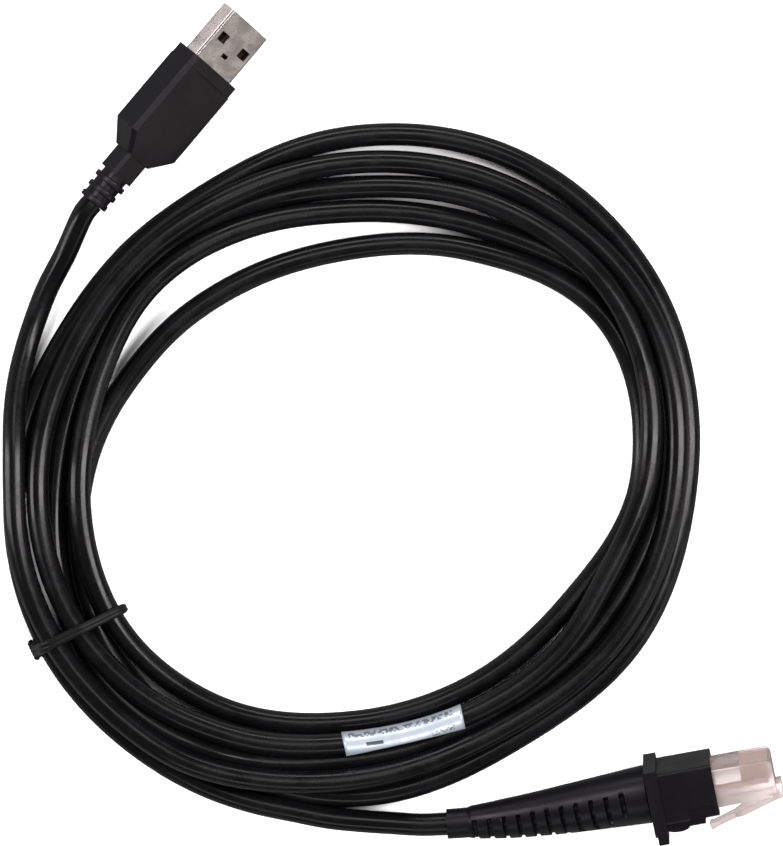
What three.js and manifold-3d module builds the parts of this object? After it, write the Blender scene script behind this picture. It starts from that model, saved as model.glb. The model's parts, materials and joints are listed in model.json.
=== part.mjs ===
// A coiled interface cable for a handheld scanner: a flat four-contact host plug on one end,
// a clear modular plug in a flanged boot on the other, and about two metres of round cable
// wound into five turns and held by a wire tie.
//
// Units are millimetres, +Z is up, and the cable lies on the plane z = 0. The origin is the
// middle of the footprint of the two plugs. Each plug is modelled in a frame of its own, with
// +X along the plug towards its mating end, and then turned and moved to where it lies.

import * as THREE from "three";
import { mergeVertices } from "three/addons/utils/BufferGeometryUtils.js";
import Module from "manifold-3d";

const wasm = await Module();
wasm.setup();

// ---------------------------------------------------------------------------------------
// Driving dimensions
// ---------------------------------------------------------------------------------------

const GAP = 0.3; // clearance between pieces that touch
const FINE_GAP = 0.12; // clearance between the small pressed pieces inside a plug
const OVERRUN = 1.0; // how far a cutting tool runs past the face that it cuts

// Cable
const CABLE_D = 4.7;
const CORE_D = 3.6; // the screened core, where the jacket stops inside a plug
const WIRE_D = 0.8; // one insulated conductor

// Host plug: a flat stamped shell in a moulded housing
const HOST_PLACE = { x: -45.6, y: 74.2, z: 7.35, yaw: 49.8, roll: 43 };
const SHELL = { width: 12.0, height: 4.5, wall: 0.3, corner: 0.5, reach: 12.0, tail: 6.8 };
const SHELL_WINDOW = { x: 6.3, y: 3.5, length: 2.0, width: 2.4 };
const SHELL_TAB = { x: 3.5, length: 0.8, width: 1.6 };
const TONGUE = { width: 10.9, thickness: 1.85, front: 11.2, back: -6.4 };
const HOST_CONTACT = { width: 1.0, thickness: 0.3, front: 10.4, back: -8.2 };
const HOST_CONTACT_Y = [-3.5, -1.0, 1.0, 3.5];
const REAR_SHIELD = { width: 12.0, height: 5.4, wall: 0.5, chamfer: 0.8, front: -7.1, back: -15.0 };
const WIRE_FAN = { bend: 0.9, end: 0.32 }; // how far the four conductors draw together
const HOUSING = { width: 14.75, height: 8.0, chamfer: 0.9, length: 19.9, taper: 4.5, rim: 0.25 };
const HOUSING_WEB = 2.2; // wall between the rear shield's room and the neck's
const HOUSING_NECK_WALL = 0.45;
const HOUSING_GROOVE = { x: -2.5, width: 0.45, depth: 0.35, length: 9.0 };
const NECK = { width: 6.2, height: 5.6, length: 5.2, chamfer: 0.7 };
const HOST_RIB = { count: 3, pitch: 2.45, thickness: 1.3, firstD: 7.1, lastD: 6.4, coreD: 5.7 };
const RELIEF_BORE_D = CORE_D + 2 * GAP;

// Modular plug: a clear ten-way plug with a spring latch, held in a flanged boot
const PLUG_PLACE = { x: 47.7, y: -75.3, z: 9.0, yaw: 10.8, pitch: -5.0, roll: -78 };
const PLUG = { width: 11.7, height: 8.0, length: 21.5, nose: 23.5, edge: 0.3 };
const NOSE_BEVEL = { length: 0.7, width: 1.0, height: 1.4 };
const PLUG_CAVITY = { width: 9.6, height: 5.4, length: 8.0 };
const WIRE_CHANNEL = { width: 10.6, height: 1.4, front: 22.3 };
const BLADE = { count: 10, pitch: 1.02, thickness: 0.36, length: 5.6, front: 22.6 };
const BLADE_TOP = 3.7;
const BLADE_BOTTOM = 1.05;
const SCANNER_WIRES = 6;
const LATCH = { pivotX: 23.2, rootWidth: 5.6, tailWidth: 3.3, thickness: 1.15, length: 14.4 };
const LATCH_SHOULDER = 8.0; // where the wide root steps down to the narrow lever
const LATCH_HEEL = { length: 1.6, front: 0.2, rise: 0.15 };
const LATCH_LIP = { length: 0.9, drop: 0.25 };
const LATCH_REST = 13.8; // degrees between the latch arm and the plug body when it is free
const BOOT = { width: 13.6, height: 11.0, length: 11.2, chamfer: 0.7, fit: 0.2 };
const BOOT_WAY = { width: 7.2, height: 4.6 }; // the way through the flange for the wires
const FLANGE = { width: 14.8, top: 6.4, bottom: -7.5, thickness: 2.6, lugWidth: 8.0, lugEnd: -10.8 };
const LATCH_CHANNEL = 7.0; // width of the slot under the plug where the latch swings
const GUARD = { width: 8.0, bump: 4.6, reach: 8.0, top: -6.2, bottom: -7.3 };
const GUARD_BUMP = { height: 0.4, crown: 0.4, shoulder: 1.2, root: 1.5 };
const SIDE_NOTCH = { from: 5.0, to: 10.2, bottom: -5.5, top: -2.9, depth: 0.45 };
const RELIEF_END = { x: 3.7, y: -82.4, z: 3.2, yaw: 3.5 };
const RELIEF_LEAD = { length: 15.0, rise: 0.6 }; // how the tail leaves the flange and meets the cable
const RELIEF = { bigD: 11.9, smallD: 6.0, collar: 4.6, wall: 0.45 };
const RELIEF_GROOVE = { count: 11, width: 1.15, depth: 1.3, first: 0.06, last: 0.86 };

// Coil: the bundle's inner and outer edge, as radii every 30 degrees from +X
const COIL_CENTRE = { x: -16.6, y: -9.2 };
const COIL_OUTER = [71.7, 75.1, 75.4, 71.4, 66.6, 66.9, 71.4, 75.1, 74.5, 70.3, 68.1, 70.7];
const COIL_INNER = [58.7, 59.5, 50.1, 43.7, 42.8, 46.0, 52.5, 55.4, 53.9, 50.0, 49.1, 51.2];
const COIL_HEIGHT = [9.4, 9.4, 7.4, 6.8, 8.5, 9.0, 10.2, 12.1, 11.8, 9.4, 8.5, 8.9];
const COIL_STATIONS = 48;
const COIL_SHAPE = { round: 0.3, side: 0.6, shoulder: 0.9 }; // shares of cable width and of height
// The slit that the innermost turn leaves along the top of the coil
const SLIT = { angles: [74, 85, 95, 105, 120, 135, 147, 157] };
SLIT.inner = [51.4, 49.6, 48.3, 47.6, 47.7, 49.1, 51.2, 52.9];
SLIT.outer = [51.9, 51.3, 51.0, 51.2, 52.2, 53.3, 53.6, 53.4];

// Free ends of the cable, from each plug to where they join the coil
const HOST_TAIL = [
  [-74.6, 35.3, 4.6],
  [-78.2, 28.6, 3.0],
  [-80.8, 22.6, 2.45],
  [-82.9, 16.0, 2.8],
  [-84.4, 9.3, 4.2],
  [-85.3, 2.7, 5.7],
  [-85.4, -4.1, 6.7],
];
const PLUG_TAIL = [
  [-1.7, -82.6, 2.9],
  [-7.6, -82.3, 2.45],
  [-13.7, -81.6, 2.35],
  [-20.7, -81.9, 2.35],
  [-27.5, -81.5, 2.35],
];

// Tie and label
const TIE = { angle: 211, tilt: -5, inner: 54.3, outer: 76.0, top: 13.1, wireD: 1.5 };
const TIE_LIFT = 0.5; // the height of the tie's lowest side above the surface
const TIE_TWIST = { length: 4.2, width: 2.2, lift: 2.2, rise: 0.6 };
const LABEL = { angle: 281.9, radius: 55.4, length: 25.0, width: 5.1, thickness: 0.35, z: 9.4 };

// ---------------------------------------------------------------------------------------
// Materials
// ---------------------------------------------------------------------------------------

function finish(color, roughness, metalness, extra = {}) {
  return new THREE.MeshStandardMaterial({ color, roughness, metalness, ...extra });
}

const JACKET = finish(0x111114, 0.32, 0.0);
const MOULDED = finish(0x17171a, 0.55, 0.0);
const NICKEL = finish(0xc9c4bd, 0.22, 1.0);
const GOLD = finish(0xc9974a, 0.25, 1.0);
const CLEAR = finish(0xdedfe4, 0.08, 0.0, { transparent: true, opacity: 0.4 });
const WHITE_PLASTIC = finish(0xe6e4dd, 0.45, 0.0);
const SCREEN = finish(0xa9abb0, 0.4, 1.0);
const FOIL_LABEL = finish(0xb9c3cf, 0.4, 0.0);
const TIE_SLEEVE = finish(0x141416, 0.45, 0.0);
const WIRE_COLOURS = [0xb3261e, 0xe4e4e0, 0x2d6b3c, 0x161616, 0xb06a3b, 0xc9a08e];

// ---------------------------------------------------------------------------------------
// Geometry helpers
// ---------------------------------------------------------------------------------------

const radians = THREE.MathUtils.degToRad;

function toSolid(geometry) {
  const bare = geometry.clone();
  bare.deleteAttribute("normal");
  bare.deleteAttribute("uv");
  const merged = mergeVertices(bare, 1e-4);
  const vertProperties = new Float32Array(merged.attributes.position.array);
  const triVerts = new Uint32Array(merged.index.array);
  return new wasm.Manifold(new wasm.Mesh({ numProp: 3, vertProperties, triVerts }));
}

function toGeometry(solid) {
  const mesh = solid.getMesh();
  const geometry = new THREE.BufferGeometry();
  const positions = new THREE.BufferAttribute(new Float32Array(mesh.vertProperties), 3);
  geometry.setAttribute("position", positions);
  geometry.setIndex(new THREE.BufferAttribute(new Uint32Array(mesh.triVerts), 1));
  return geometry;
}

function cut(base, ...tools) {
  let solid = toSolid(base);
  for (const tool of tools) {
    solid = solid.subtract(toSolid(tool));
  }
  return toGeometry(solid);
}

function join(...pieces) {
  let solid = toSolid(pieces[0]);
  for (const piece of pieces.slice(1)) {
    solid = solid.add(toSolid(piece));
  }
  return toGeometry(solid);
}

// A block between two values on each axis.
function block(x0, x1, y0, y1, z0, z1) {
  const geometry = new THREE.BoxGeometry(x1 - x0, y1 - y0, z1 - z0);
  return geometry.translate((x0 + x1) / 2, (y0 + y1) / 2, (z0 + z1) / 2);
}

// A block centred on the X axis.
function bar(x0, x1, width, height) {
  return block(x0, x1, -width / 2, width / 2, -height / 2, height / 2);
}

// A round rod along X.
function rod(x0, x1, diameter, sides = 20) {
  const geometry = new THREE.CylinderGeometry(diameter / 2, diameter / 2, x1 - x0, sides);
  return geometry.rotateZ(Math.PI / 2).translate((x0 + x1) / 2, 0, 0);
}

// A solid skinned over rings of equal point count. A closed skin joins its last ring to its
// first, and an open one is capped at both ends.
function skin(rings, closed = false) {
  const count = rings[0].length;
  const positions = rings.flat().flatMap((point) => [point.x, point.y, point.z]);
  const index = [];
  const spans = closed ? rings.length : rings.length - 1;
  for (let i = 0; i < spans; i += 1) {
    const here = i * count;
    const next = ((i + 1) % rings.length) * count;
    for (let j = 0; j < count; j += 1) {
      const k = (j + 1) % count;
      index.push(here + j, next + k, here + k);
      index.push(here + j, next + j, next + k);
    }
  }
  if (!closed) {
    for (let j = 1; j < count - 1; j += 1) {
      const last = (rings.length - 1) * count;
      index.push(0, j, j + 1);
      index.push(last, last + j + 1, last + j);
    }
  }
  const geometry = new THREE.BufferGeometry();
  geometry.setAttribute("position", new THREE.Float32BufferAttribute(positions, 3));
  geometry.setIndex(index);
  return outwards(geometry);
}

// Turns every face round if the skin was wound inside out.
function outwards(geometry) {
  const point = geometry.attributes.position;
  const index = geometry.index.array;
  const [a, b, c] = [new THREE.Vector3(), new THREE.Vector3(), new THREE.Vector3()];
  let volume = 0;
  for (let i = 0; i < index.length; i += 3) {
    a.fromBufferAttribute(point, index[i]);
    b.fromBufferAttribute(point, index[i + 1]);
    c.fromBufferAttribute(point, index[i + 2]);
    volume += a.dot(b.cross(c));
  }
  if (volume < 0) {
    for (let i = 0; i < index.length; i += 3) {
      [index[i + 1], index[i + 2]] = [index[i + 2], index[i + 1]];
    }
  }
  return geometry;
}

// A ring of a chamfered rectangle, square to X.
function chamferedRing(x, width, height, chamfer) {
  const [w, h] = [width / 2, height / 2];
  const corners = [
    [w, h - chamfer],
    [w - chamfer, h],
    [-w + chamfer, h],
    [-w, h - chamfer],
    [-w, -h + chamfer],
    [-w + chamfer, -h],
    [w - chamfer, -h],
    [w, -h + chamfer],
  ];
  return corners.map(([y, z]) => new THREE.Vector3(x, y, z));
}

// A round tube along a smooth curve through the points.
function tube(points, diameter, sides, steps) {
  const path = new THREE.CatmullRomCurve3(points, false, "centripetal");
  const section = new THREE.Shape();
  for (let i = 0; i < sides; i += 1) {
    const angle = (2 * Math.PI * i) / sides;
    const [x, y] = [Math.cos(angle) * (diameter / 2), Math.sin(angle) * (diameter / 2)];
    if (i === 0) {
      section.moveTo(x, y);
    } else {
      section.lineTo(x, y);
    }
  }
  section.closePath();
  return new THREE.ExtrudeGeometry(section, { steps, extrudePath: path, bevelEnabled: false });
}

// A closed loop of round wire through the points of a flat outline.
function wireLoop(points, diameter, sides, steps, normal) {
  const path = new THREE.CatmullRomCurve3(points, true, "centripetal");
  const rings = [];
  for (let i = 0; i < steps; i += 1) {
    const centre = path.getPointAt(i / steps);
    const side = path.getTangentAt(i / steps).cross(normal).normalize();
    const ring = [];
    for (let j = 0; j < sides; j += 1) {
      const angle = (2 * Math.PI * j) / sides;
      const out = side.clone().multiplyScalar(Math.cos(angle) * (diameter / 2));
      const along = normal.clone().multiplyScalar(Math.sin(angle) * (diameter / 2));
      ring.push(centre.clone().add(out).add(along));
    }
    rings.push(ring);
  }
  return skin(rings, true);
}

function piece(parent, name, geometry, material) {
  const mesh = new THREE.Mesh(geometry, material);
  mesh.name = name;
  parent.add(mesh);
  return mesh;
}

function placed(place) {
  const group = new THREE.Group();
  const turn = [radians(place.roll ?? 0), radians(place.pitch ?? 0), radians(place.yaw)];
  group.rotation.set(turn[0], turn[1], turn[2], "ZYX");
  group.position.set(place.x, place.y, place.z);
  group.updateMatrixWorld(true);
  return group;
}

// ---------------------------------------------------------------------------------------
// Host plug
// ---------------------------------------------------------------------------------------

function hostShell() {
  const { width, height, wall, corner, reach, tail } = SHELL;
  const outside = skin([
    chamferedRing(-tail, width, height, corner),
    chamferedRing(reach, width, height, corner),
  ]);
  const inside = skin([
    chamferedRing(-tail - OVERRUN, width - 2 * wall, height - 2 * wall, corner - wall / 2),
    chamferedRing(reach + OVERRUN, width - 2 * wall, height - 2 * wall, corner - wall / 2),
  ]);
  const openings = [];
  for (const side of [-1, 1]) {
    const { x, y, length, width: across } = SHELL_WINDOW;
    const [x0, x1] = [x - length / 2, x + length / 2];
    const [y0, y1] = [side * y - across / 2, side * y + across / 2];
    openings.push(block(x0, x1, y0, y1, -height, height));
  }
  const tab = SHELL_TAB;
  const [tab0, tab1] = [tab.x - tab.length / 2, tab.x + tab.length / 2];
  openings.push(block(tab0, tab1, -tab.width / 2, tab.width / 2, 0, height));
  return cut(outside, inside, ...openings);
}

// The insulator that carries the four contacts lies against the shell's lower wall.
const TONGUE_BASE = -SHELL.height / 2 + SHELL.wall + GAP / 2;
const TONGUE_TOP = TONGUE_BASE + TONGUE.thickness;

function hostTongue() {
  const half = TONGUE.width / 2;
  const body = block(TONGUE.back, TONGUE.front, -half, half, TONGUE_BASE, TONGUE_TOP);
  const slots = HOST_CONTACT_Y.map((y) => {
    const reach = HOST_CONTACT.width / 2 + FINE_GAP;
    const floor = TONGUE_TOP - HOST_CONTACT.thickness - FINE_GAP;
    const front = HOST_CONTACT.front + FINE_GAP;
    const back = TONGUE.back - OVERRUN;
    return block(back, front, y - reach, y + reach, floor, TONGUE_TOP + OVERRUN);
  });
  return cut(body, ...slots);
}

function hostContact(y) {
  const half = HOST_CONTACT.width / 2;
  const bottom = TONGUE_TOP - HOST_CONTACT.thickness;
  return block(HOST_CONTACT.back, HOST_CONTACT.front, y - half, y + half, bottom, TONGUE_TOP);
}

// The formed can behind the shell closes round the solder joints and grips the screen.
function rearShield() {
  const { width, height, wall, chamfer, front, back } = REAR_SHIELD;
  const can = skin([
    chamferedRing(back, width, height, chamfer),
    chamferedRing(front, width, height, chamfer),
  ]);
  const room = bar(back + wall, front + OVERRUN, width - 2 * wall, height - 2 * wall);
  const way = rod(back - OVERRUN, back + OVERRUN, CORE_D + 2 * GAP);
  return cut(can, room, way);
}

function hostHousing() {
  const { width, height, chamfer, length, taper, rim } = HOUSING;
  const end = -length - taper;
  const groove = HOUSING_GROOVE;
  const neckWall = 2 * HOUSING_NECK_WALL;
  const shape = skin([
    chamferedRing(end, NECK.width + neckWall, NECK.height + neckWall, chamfer),
    chamferedRing(-length, width, height, chamfer),
    chamferedRing(groove.x, width, height, chamfer),
    chamferedRing(groove.x, width - rim, height - rim, chamfer),
    chamferedRing(0, width - rim, height - rim, chamfer),
  ]);
  const { width: canWidth, height: canHeight, front, back } = REAR_SHIELD;
  const mouth = bar(front, OVERRUN, SHELL.width + 2 * GAP, SHELL.height + 2 * GAP);
  const room = bar(back - GAP, front + GAP, canWidth + 2 * GAP, canHeight + 2 * GAP);
  const web = back - HOUSING_WEB;
  const neckWay = bar(end - OVERRUN, web, NECK.width + 2 * GAP, NECK.height + 2 * GAP);
  const coreWay = rod(web - OVERRUN, back, CORE_D + 2 * GAP);
  const grooves = [-1, 1].map((side) => {
    const [x0, x1] = [groove.x - groove.width, groove.x];
    const level = side * (height / 2);
    const half = groove.length / 2;
    return block(x0, x1, -half, half, level - groove.depth, level + groove.depth);
  });
  return cut(shape, mouth, room, neckWay, coreWay, ...grooves);
}

// The strain relief is moulded on the cable first: its square neck is caught in the housing
// and three ribs let it bend.
const NECK_FRONT = REAR_SHIELD.back - HOUSING_WEB - GAP;
const NECK_BACK = -HOUSING.length - HOUSING.taper - NECK.length;
const HOST_EXIT = NECK_BACK - HOST_RIB.count * HOST_RIB.pitch;

function hostRelief() {
  const neck = skin([
    chamferedRing(NECK_BACK, NECK.width, NECK.height, NECK.chamfer),
    chamferedRing(NECK_FRONT, NECK.width, NECK.height, NECK.chamfer),
  ]);
  const { count, pitch, thickness, firstD, lastD, coreD } = HOST_RIB;
  const pieces = [neck, rod(HOST_EXIT, NECK_BACK + OVERRUN, coreD)];
  for (let i = 0; i < count; i += 1) {
    const back = NECK_BACK - (i + 1) * pitch;
    const diameter = THREE.MathUtils.lerp(firstD, lastD, i / (count - 1));
    pieces.push(rod(back, back + thickness, diameter));
  }
  return cut(join(...pieces), rod(HOST_EXIT - OVERRUN, NECK_FRONT + OVERRUN, RELIEF_BORE_D));
}

function hostPlug() {
  const plug = placed(HOST_PLACE);
  piece(plug, "host_shell", hostShell(), NICKEL);
  piece(plug, "host_tongue", hostTongue(), WHITE_PLASTIC);
  HOST_CONTACT_Y.forEach((y, i) => {
    piece(plug, `host_contact_${i + 1}`, hostContact(y), GOLD);
  });
  piece(plug, "host_rear_shield", rearShield(), SCREEN);
  piece(plug, "host_housing", hostHousing(), MOULDED);
  piece(plug, "host_strain_relief", hostRelief(), MOULDED);
  HOST_CONTACT_Y.forEach((y, i) => {
    const z = TONGUE_TOP - HOST_CONTACT.thickness / 2;
    const start = new THREE.Vector3(HOST_CONTACT.back - GAP, y, z);
    const bend = new THREE.Vector3(HOST_CONTACT.back - 2, y * WIRE_FAN.bend, z);
    const end = new THREE.Vector3(REAR_SHIELD.back + 1, y * WIRE_FAN.end, 0);
    const wire = tube([start, bend, end], WIRE_D, 8, 6);
    piece(plug, `host_wire_${i + 1}`, wire, finish(WIRE_COLOURS[i], 0.5, 0.0));
  });
  piece(plug, "host_core", rod(HOST_EXIT, REAR_SHIELD.back + 0.4, CORE_D, 16), SCREEN);
  return plug;
}

// ---------------------------------------------------------------------------------------
// Modular plug and its boot
// ---------------------------------------------------------------------------------------

const bladeY = (i) => (i - (BLADE.count - 1) / 2) * BLADE.pitch;
const wireY = (i) => (i - (SCANNER_WIRES - 1) / 2) * BLADE.pitch;

function plugBody() {
  const { width, height, length, nose, edge } = PLUG;
  const back = nose - length;
  const shape = skin([
    chamferedRing(back, width, height, edge),
    chamferedRing(nose - NOSE_BEVEL.length, width, height, edge),
    chamferedRing(nose, width - NOSE_BEVEL.width, height - NOSE_BEVEL.height, edge),
  ]);
  const room = PLUG_CAVITY;
  const cavity = bar(back - OVERRUN, back + room.length, room.width, room.height);
  const half = WIRE_CHANNEL.height / 2;
  const channelHalf = WIRE_CHANNEL.width / 2;
  const tools = [cavity];
  tools.push(block(back, WIRE_CHANNEL.front, -channelHalf, channelHalf, -half, half));
  for (let i = 0; i < BLADE.count; i += 1) {
    const reach = BLADE.thickness / 2 + FINE_GAP;
    const [x0, x1] = [BLADE.front - BLADE.length - FINE_GAP, BLADE.front + FINE_GAP];
    tools.push(block(x0, x1, bladeY(i) - reach, bladeY(i) + reach, 0, height));
  }
  return cut(shape, ...tools);
}

function plugBlade(i) {
  const [x0, x1] = [BLADE.front - BLADE.length, BLADE.front];
  const half = BLADE.thickness / 2;
  return block(x0, x1, bladeY(i) - half, bladeY(i) + half, BLADE_BOTTOM, BLADE_TOP);
}

// The latch is moulded lying along the plug, then turned out to where it rests.
const LATCH_PIVOT_Z = -PLUG.height / 2 - GAP - LATCH.thickness / 2;

function plugLatch() {
  const { rootWidth, tailWidth, thickness, length } = LATCH;
  const half = thickness / 2;
  const [wide, narrow] = [rootWidth / 2, tailWidth / 2];
  const { length: heelLength, front, rise } = LATCH_HEEL;
  const root = block(-LATCH_SHOULDER, front, -wide, wide, -half, half);
  const lever = block(-length, -LATCH_SHOULDER + 0.5, -narrow, narrow, -half * 0.8, half);
  const heel = block(-heelLength, front, -wide, wide, -half, half + rise);
  const lipEnd = -length + LATCH_LIP.length;
  const lip = block(-length, lipEnd, -narrow, narrow, -half - LATCH_LIP.drop, half);
  const shape = join(root, lever, heel, lip);
  shape.rotateY(radians(-LATCH_REST));
  return shape.translate(LATCH.pivotX, 0, LATCH_PIVOT_Z);
}

function bootHead() {
  const { width, height, length, chamfer, fit } = BOOT;
  const back = PLUG.nose - PLUG.length;
  const sunk = -FLANGE.thickness / 4; // how far the pieces in front run into the flange
  const { thickness, width: flangeWidth, top, bottom, lugWidth, lugEnd } = FLANGE;
  const [half, lugHalf, guardHalf] = [flangeWidth / 2, lugWidth / 2, GUARD.width / 2];
  const bumpRoot = GUARD.top + GUARD_BUMP.root;
  const bumpSide = GUARD.bottom - GUARD_BUMP.height;
  const bumpCrown = bumpSide - GUARD_BUMP.crown;
  const crownEnd = GUARD.bump - GUARD_BUMP.shoulder;
  const pieces = [
    skin([
      chamferedRing(sunk, width, height, chamfer),
      chamferedRing(length, width, height, chamfer),
    ]),
    block(-thickness, 0, -half, half, bottom, top),
    block(-thickness + GAP, -GAP / 2, -lugHalf, lugHalf, lugEnd, bottom + OVERRUN),
    block(sunk, GUARD.reach, -guardHalf, guardHalf, GUARD.bottom, GUARD.top),
    block(sunk, crownEnd, -guardHalf, guardHalf, bumpCrown, bumpRoot),
    block(sunk, GUARD.bump, -guardHalf, guardHalf, bumpSide, bumpRoot),
  ];
  const room = bar(back - GAP, length + OVERRUN, PLUG.width + 2 * fit, PLUG.height + 2 * fit);
  const channelHalf = LATCH_CHANNEL / 2;
  const end = length + OVERRUN;
  const channel = block(GUARD.bump, end, -channelHalf, channelHalf, GUARD.top, 0);
  const front = block(GUARD.reach, end, -channelHalf, channelHalf, bumpCrown, 0);
  const wireWay = bar(-thickness - OVERRUN, back + OVERRUN, BOOT_WAY.width, BOOT_WAY.height);
  const notches = [-1, 1].map((side) => {
    const level = (side * width) / 2;
    const [y0, y1] = [level - SIDE_NOTCH.depth, level + SIDE_NOTCH.depth];
    const { from, to, bottom: floor, top: roof } = SIDE_NOTCH;
    return block(from, to, y0, y1, floor - OVERRUN, roof);
  });
  return cut(join(...pieces), room, channel, front, wireWay, ...notches);
}

function scannerPlug() {
  const plug = placed(PLUG_PLACE);
  piece(plug, "modular_plug_body", plugBody(), CLEAR);
  piece(plug, "modular_plug_latch", plugLatch(), CLEAR);
  for (let i = 0; i < BLADE.count; i += 1) {
    piece(plug, `modular_contact_${i + 1}`, plugBlade(i), GOLD);
  }
  for (let i = 0; i < SCANNER_WIRES; i += 1) {
    const ends = [new THREE.Vector3(-0.4, wireY(i), 0)];
    ends.push(new THREE.Vector3(WIRE_CHANNEL.front - GAP, wireY(i), 0));
    const wire = tube(ends, WIRE_D, 8, 2);
    piece(plug, `modular_wire_${i + 1}`, wire, finish(WIRE_COLOURS[i], 0.5, 0.0));
  }
  piece(plug, "boot_head", bootHead(), MOULDED);
  return plug;
}

// The boot's tail curves from the flange down to the cable, so it is shaped in place.
function reliefCurve(plug) {
  const start = plug.localToWorld(new THREE.Vector3(-FLANGE.thickness - GAP, 0, 0));
  const { length, rise } = RELIEF_LEAD;
  const lead = plug.localToWorld(new THREE.Vector3(-FLANGE.thickness - length, 0, 0));
  const end = new THREE.Vector3(RELIEF_END.x, RELIEF_END.y, RELIEF_END.z);
  const yaw = radians(RELIEF_END.yaw);
  const back = new THREE.Vector3(length * Math.cos(yaw), length * Math.sin(yaw), rise);
  const drawn = end.clone().add(back);
  return new THREE.CubicBezierCurve3(start, lead, drawn, end);
}

function bootRelief(curve) {
  const stations = 14;
  const sides = 20;
  const across = new THREE.Vector3(0, 0, 1);
  const rings = [];
  const reach = curve.getLength();
  for (let i = 0; i <= stations; i += 1) {
    const t = i / stations;
    const centre = curve.getPointAt(t);
    const along = curve.getTangentAt(t);
    const side = along.clone().cross(across).normalize();
    const up = side.clone().cross(along).normalize();
    const taper = Math.min(t * (reach / (reach - RELIEF.collar)), 1);
    const radius = THREE.MathUtils.lerp(RELIEF.bigD, RELIEF.smallD, taper) / 2;
    const ring = [];
    for (let j = 0; j < sides; j += 1) {
      const angle = (2 * Math.PI * j) / sides;
      const point = centre.clone().addScaledVector(side, Math.cos(angle) * radius);
      ring.push(point.addScaledVector(up, Math.sin(angle) * radius));
    }
    rings.push(ring);
  }
  const tools = [tube(extended(curve, OVERRUN), RELIEF_BORE_D, 16, 14)];
  const { count, width, depth, first, last } = RELIEF_GROOVE;
  for (let i = 0; i < count; i += 1) {
    const t = THREE.MathUtils.lerp(first, last, i / (count - 1));
    const radius = THREE.MathUtils.lerp(RELIEF.bigD, RELIEF.smallD, t * 1.1) / 2;
    const deep = Math.min(depth, radius - RELIEF_BORE_D / 2 - RELIEF.wall);
    for (const side of [-1, 1]) {
      const box = new THREE.BoxGeometry(width, 2 * RELIEF.bigD, 2 * deep);
      box.translate(0, 0, side * radius);
      const turn = new THREE.Group();
      turn.position.copy(curve.getPointAt(t));
      turn.quaternion.setFromUnitVectors(new THREE.Vector3(1, 0, 0), curve.getTangentAt(t));
      turn.updateMatrixWorld(true);
      tools.push(box.applyMatrix4(turn.matrixWorld));
    }
  }
  return cut(skin(rings), ...tools);
}

// Points along a curve that run past both of its ends.
function extended(curve, overrun) {
  const points = curve.getSpacedPoints(10);
  const [first, last] = [curve.getTangentAt(0), curve.getTangentAt(1)];
  points.unshift(points[0].clone().addScaledVector(first, -overrun));
  points.push(points.at(-1).clone().addScaledVector(last, overrun));
  return points;
}

// ---------------------------------------------------------------------------------------
// Cable, tie and label
// ---------------------------------------------------------------------------------------

// A smooth value round the coil from values at equal steps of angle.
function around(values, angle) {
  const step = 360 / values.length;
  const place = (((angle % 360) + 360) % 360) / step;
  const i = Math.floor(place);
  const at = (k) => values[(i + k + values.length) % values.length];
  const points = [at(-1), at(0), at(1), at(2)];
  const u = place - i;
  const [a, b, c, d] = points;
  const linear = (c - a) * u;
  const square = (2 * a - 5 * b + 4 * c - d) * u * u;
  const cube = (3 * b - a - 3 * c + d) * u * u * u;
  return 0.5 * (2 * b + linear + square + cube);
}

function coilPoint(angle, radius, z) {
  const turn = radians(angle);
  const x = COIL_CENTRE.x + radius * Math.cos(turn);
  const y = COIL_CENTRE.y + radius * Math.sin(turn);
  return new THREE.Vector3(x, y, z);
}

function coilRing() {
  const rings = [];
  const { round, side, shoulder } = COIL_SHAPE;
  for (let i = 0; i < COIL_STATIONS; i += 1) {
    const angle = (360 * i) / COIL_STATIONS;
    const [inner, outer] = [around(COIL_INNER, angle), around(COIL_OUTER, angle)];
    const height = around(COIL_HEIGHT, angle);
    const lift = CABLE_D * round;
    const profile = [
      [inner + lift, 0],
      [outer - lift, 0],
      [outer, lift],
      [outer, height * side],
      [outer - lift, height * shoulder],
      [(inner + outer) / 2, height],
      [inner + lift, height * shoulder],
      [inner, height * side],
      [inner, lift],
    ];
    rings.push(profile.map(([radius, z]) => coilPoint(angle, radius, z)));
  }
  return skin(rings, true);
}

function slitTool() {
  const rings = SLIT.angles.map((angle, i) => {
    const [inner, outer] = [SLIT.inner[i], SLIT.outer[i]];
    const [low, high] = [-OVERRUN, Math.max(...COIL_HEIGHT) + OVERRUN];
    return [
      coilPoint(angle, inner, low),
      coilPoint(angle, outer, low),
      coilPoint(angle, outer, high),
      coilPoint(angle, inner, high),
    ];
  });
  return skin(rings);
}

function hostTailPoints(plug) {
  const start = plug.localToWorld(new THREE.Vector3(HOST_EXIT - GAP, 0, 0));
  const lead = plug.localToWorld(new THREE.Vector3(HOST_EXIT - 2.5, 0, 0));
  return [start, lead, ...HOST_TAIL.map((point) => new THREE.Vector3(...point))];
}

function plugTailPoints(curve) {
  const start = curve.getPointAt(1).addScaledVector(curve.getTangentAt(1), GAP);
  return [start, ...PLUG_TAIL.map((point) => new THREE.Vector3(...point))];
}

// The tie's frame: across the bundle, up, and along the cable.
function tieFrame() {
  const turn = radians(TIE.angle + TIE.tilt);
  const out = new THREE.Vector3(Math.cos(turn), Math.sin(turn), 0);
  const along = new THREE.Vector3(-out.y, out.x, 0);
  const middle = coilPoint(TIE.angle, (TIE.inner + TIE.outer) / 2, 0);
  return { out, along, middle };
}

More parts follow.
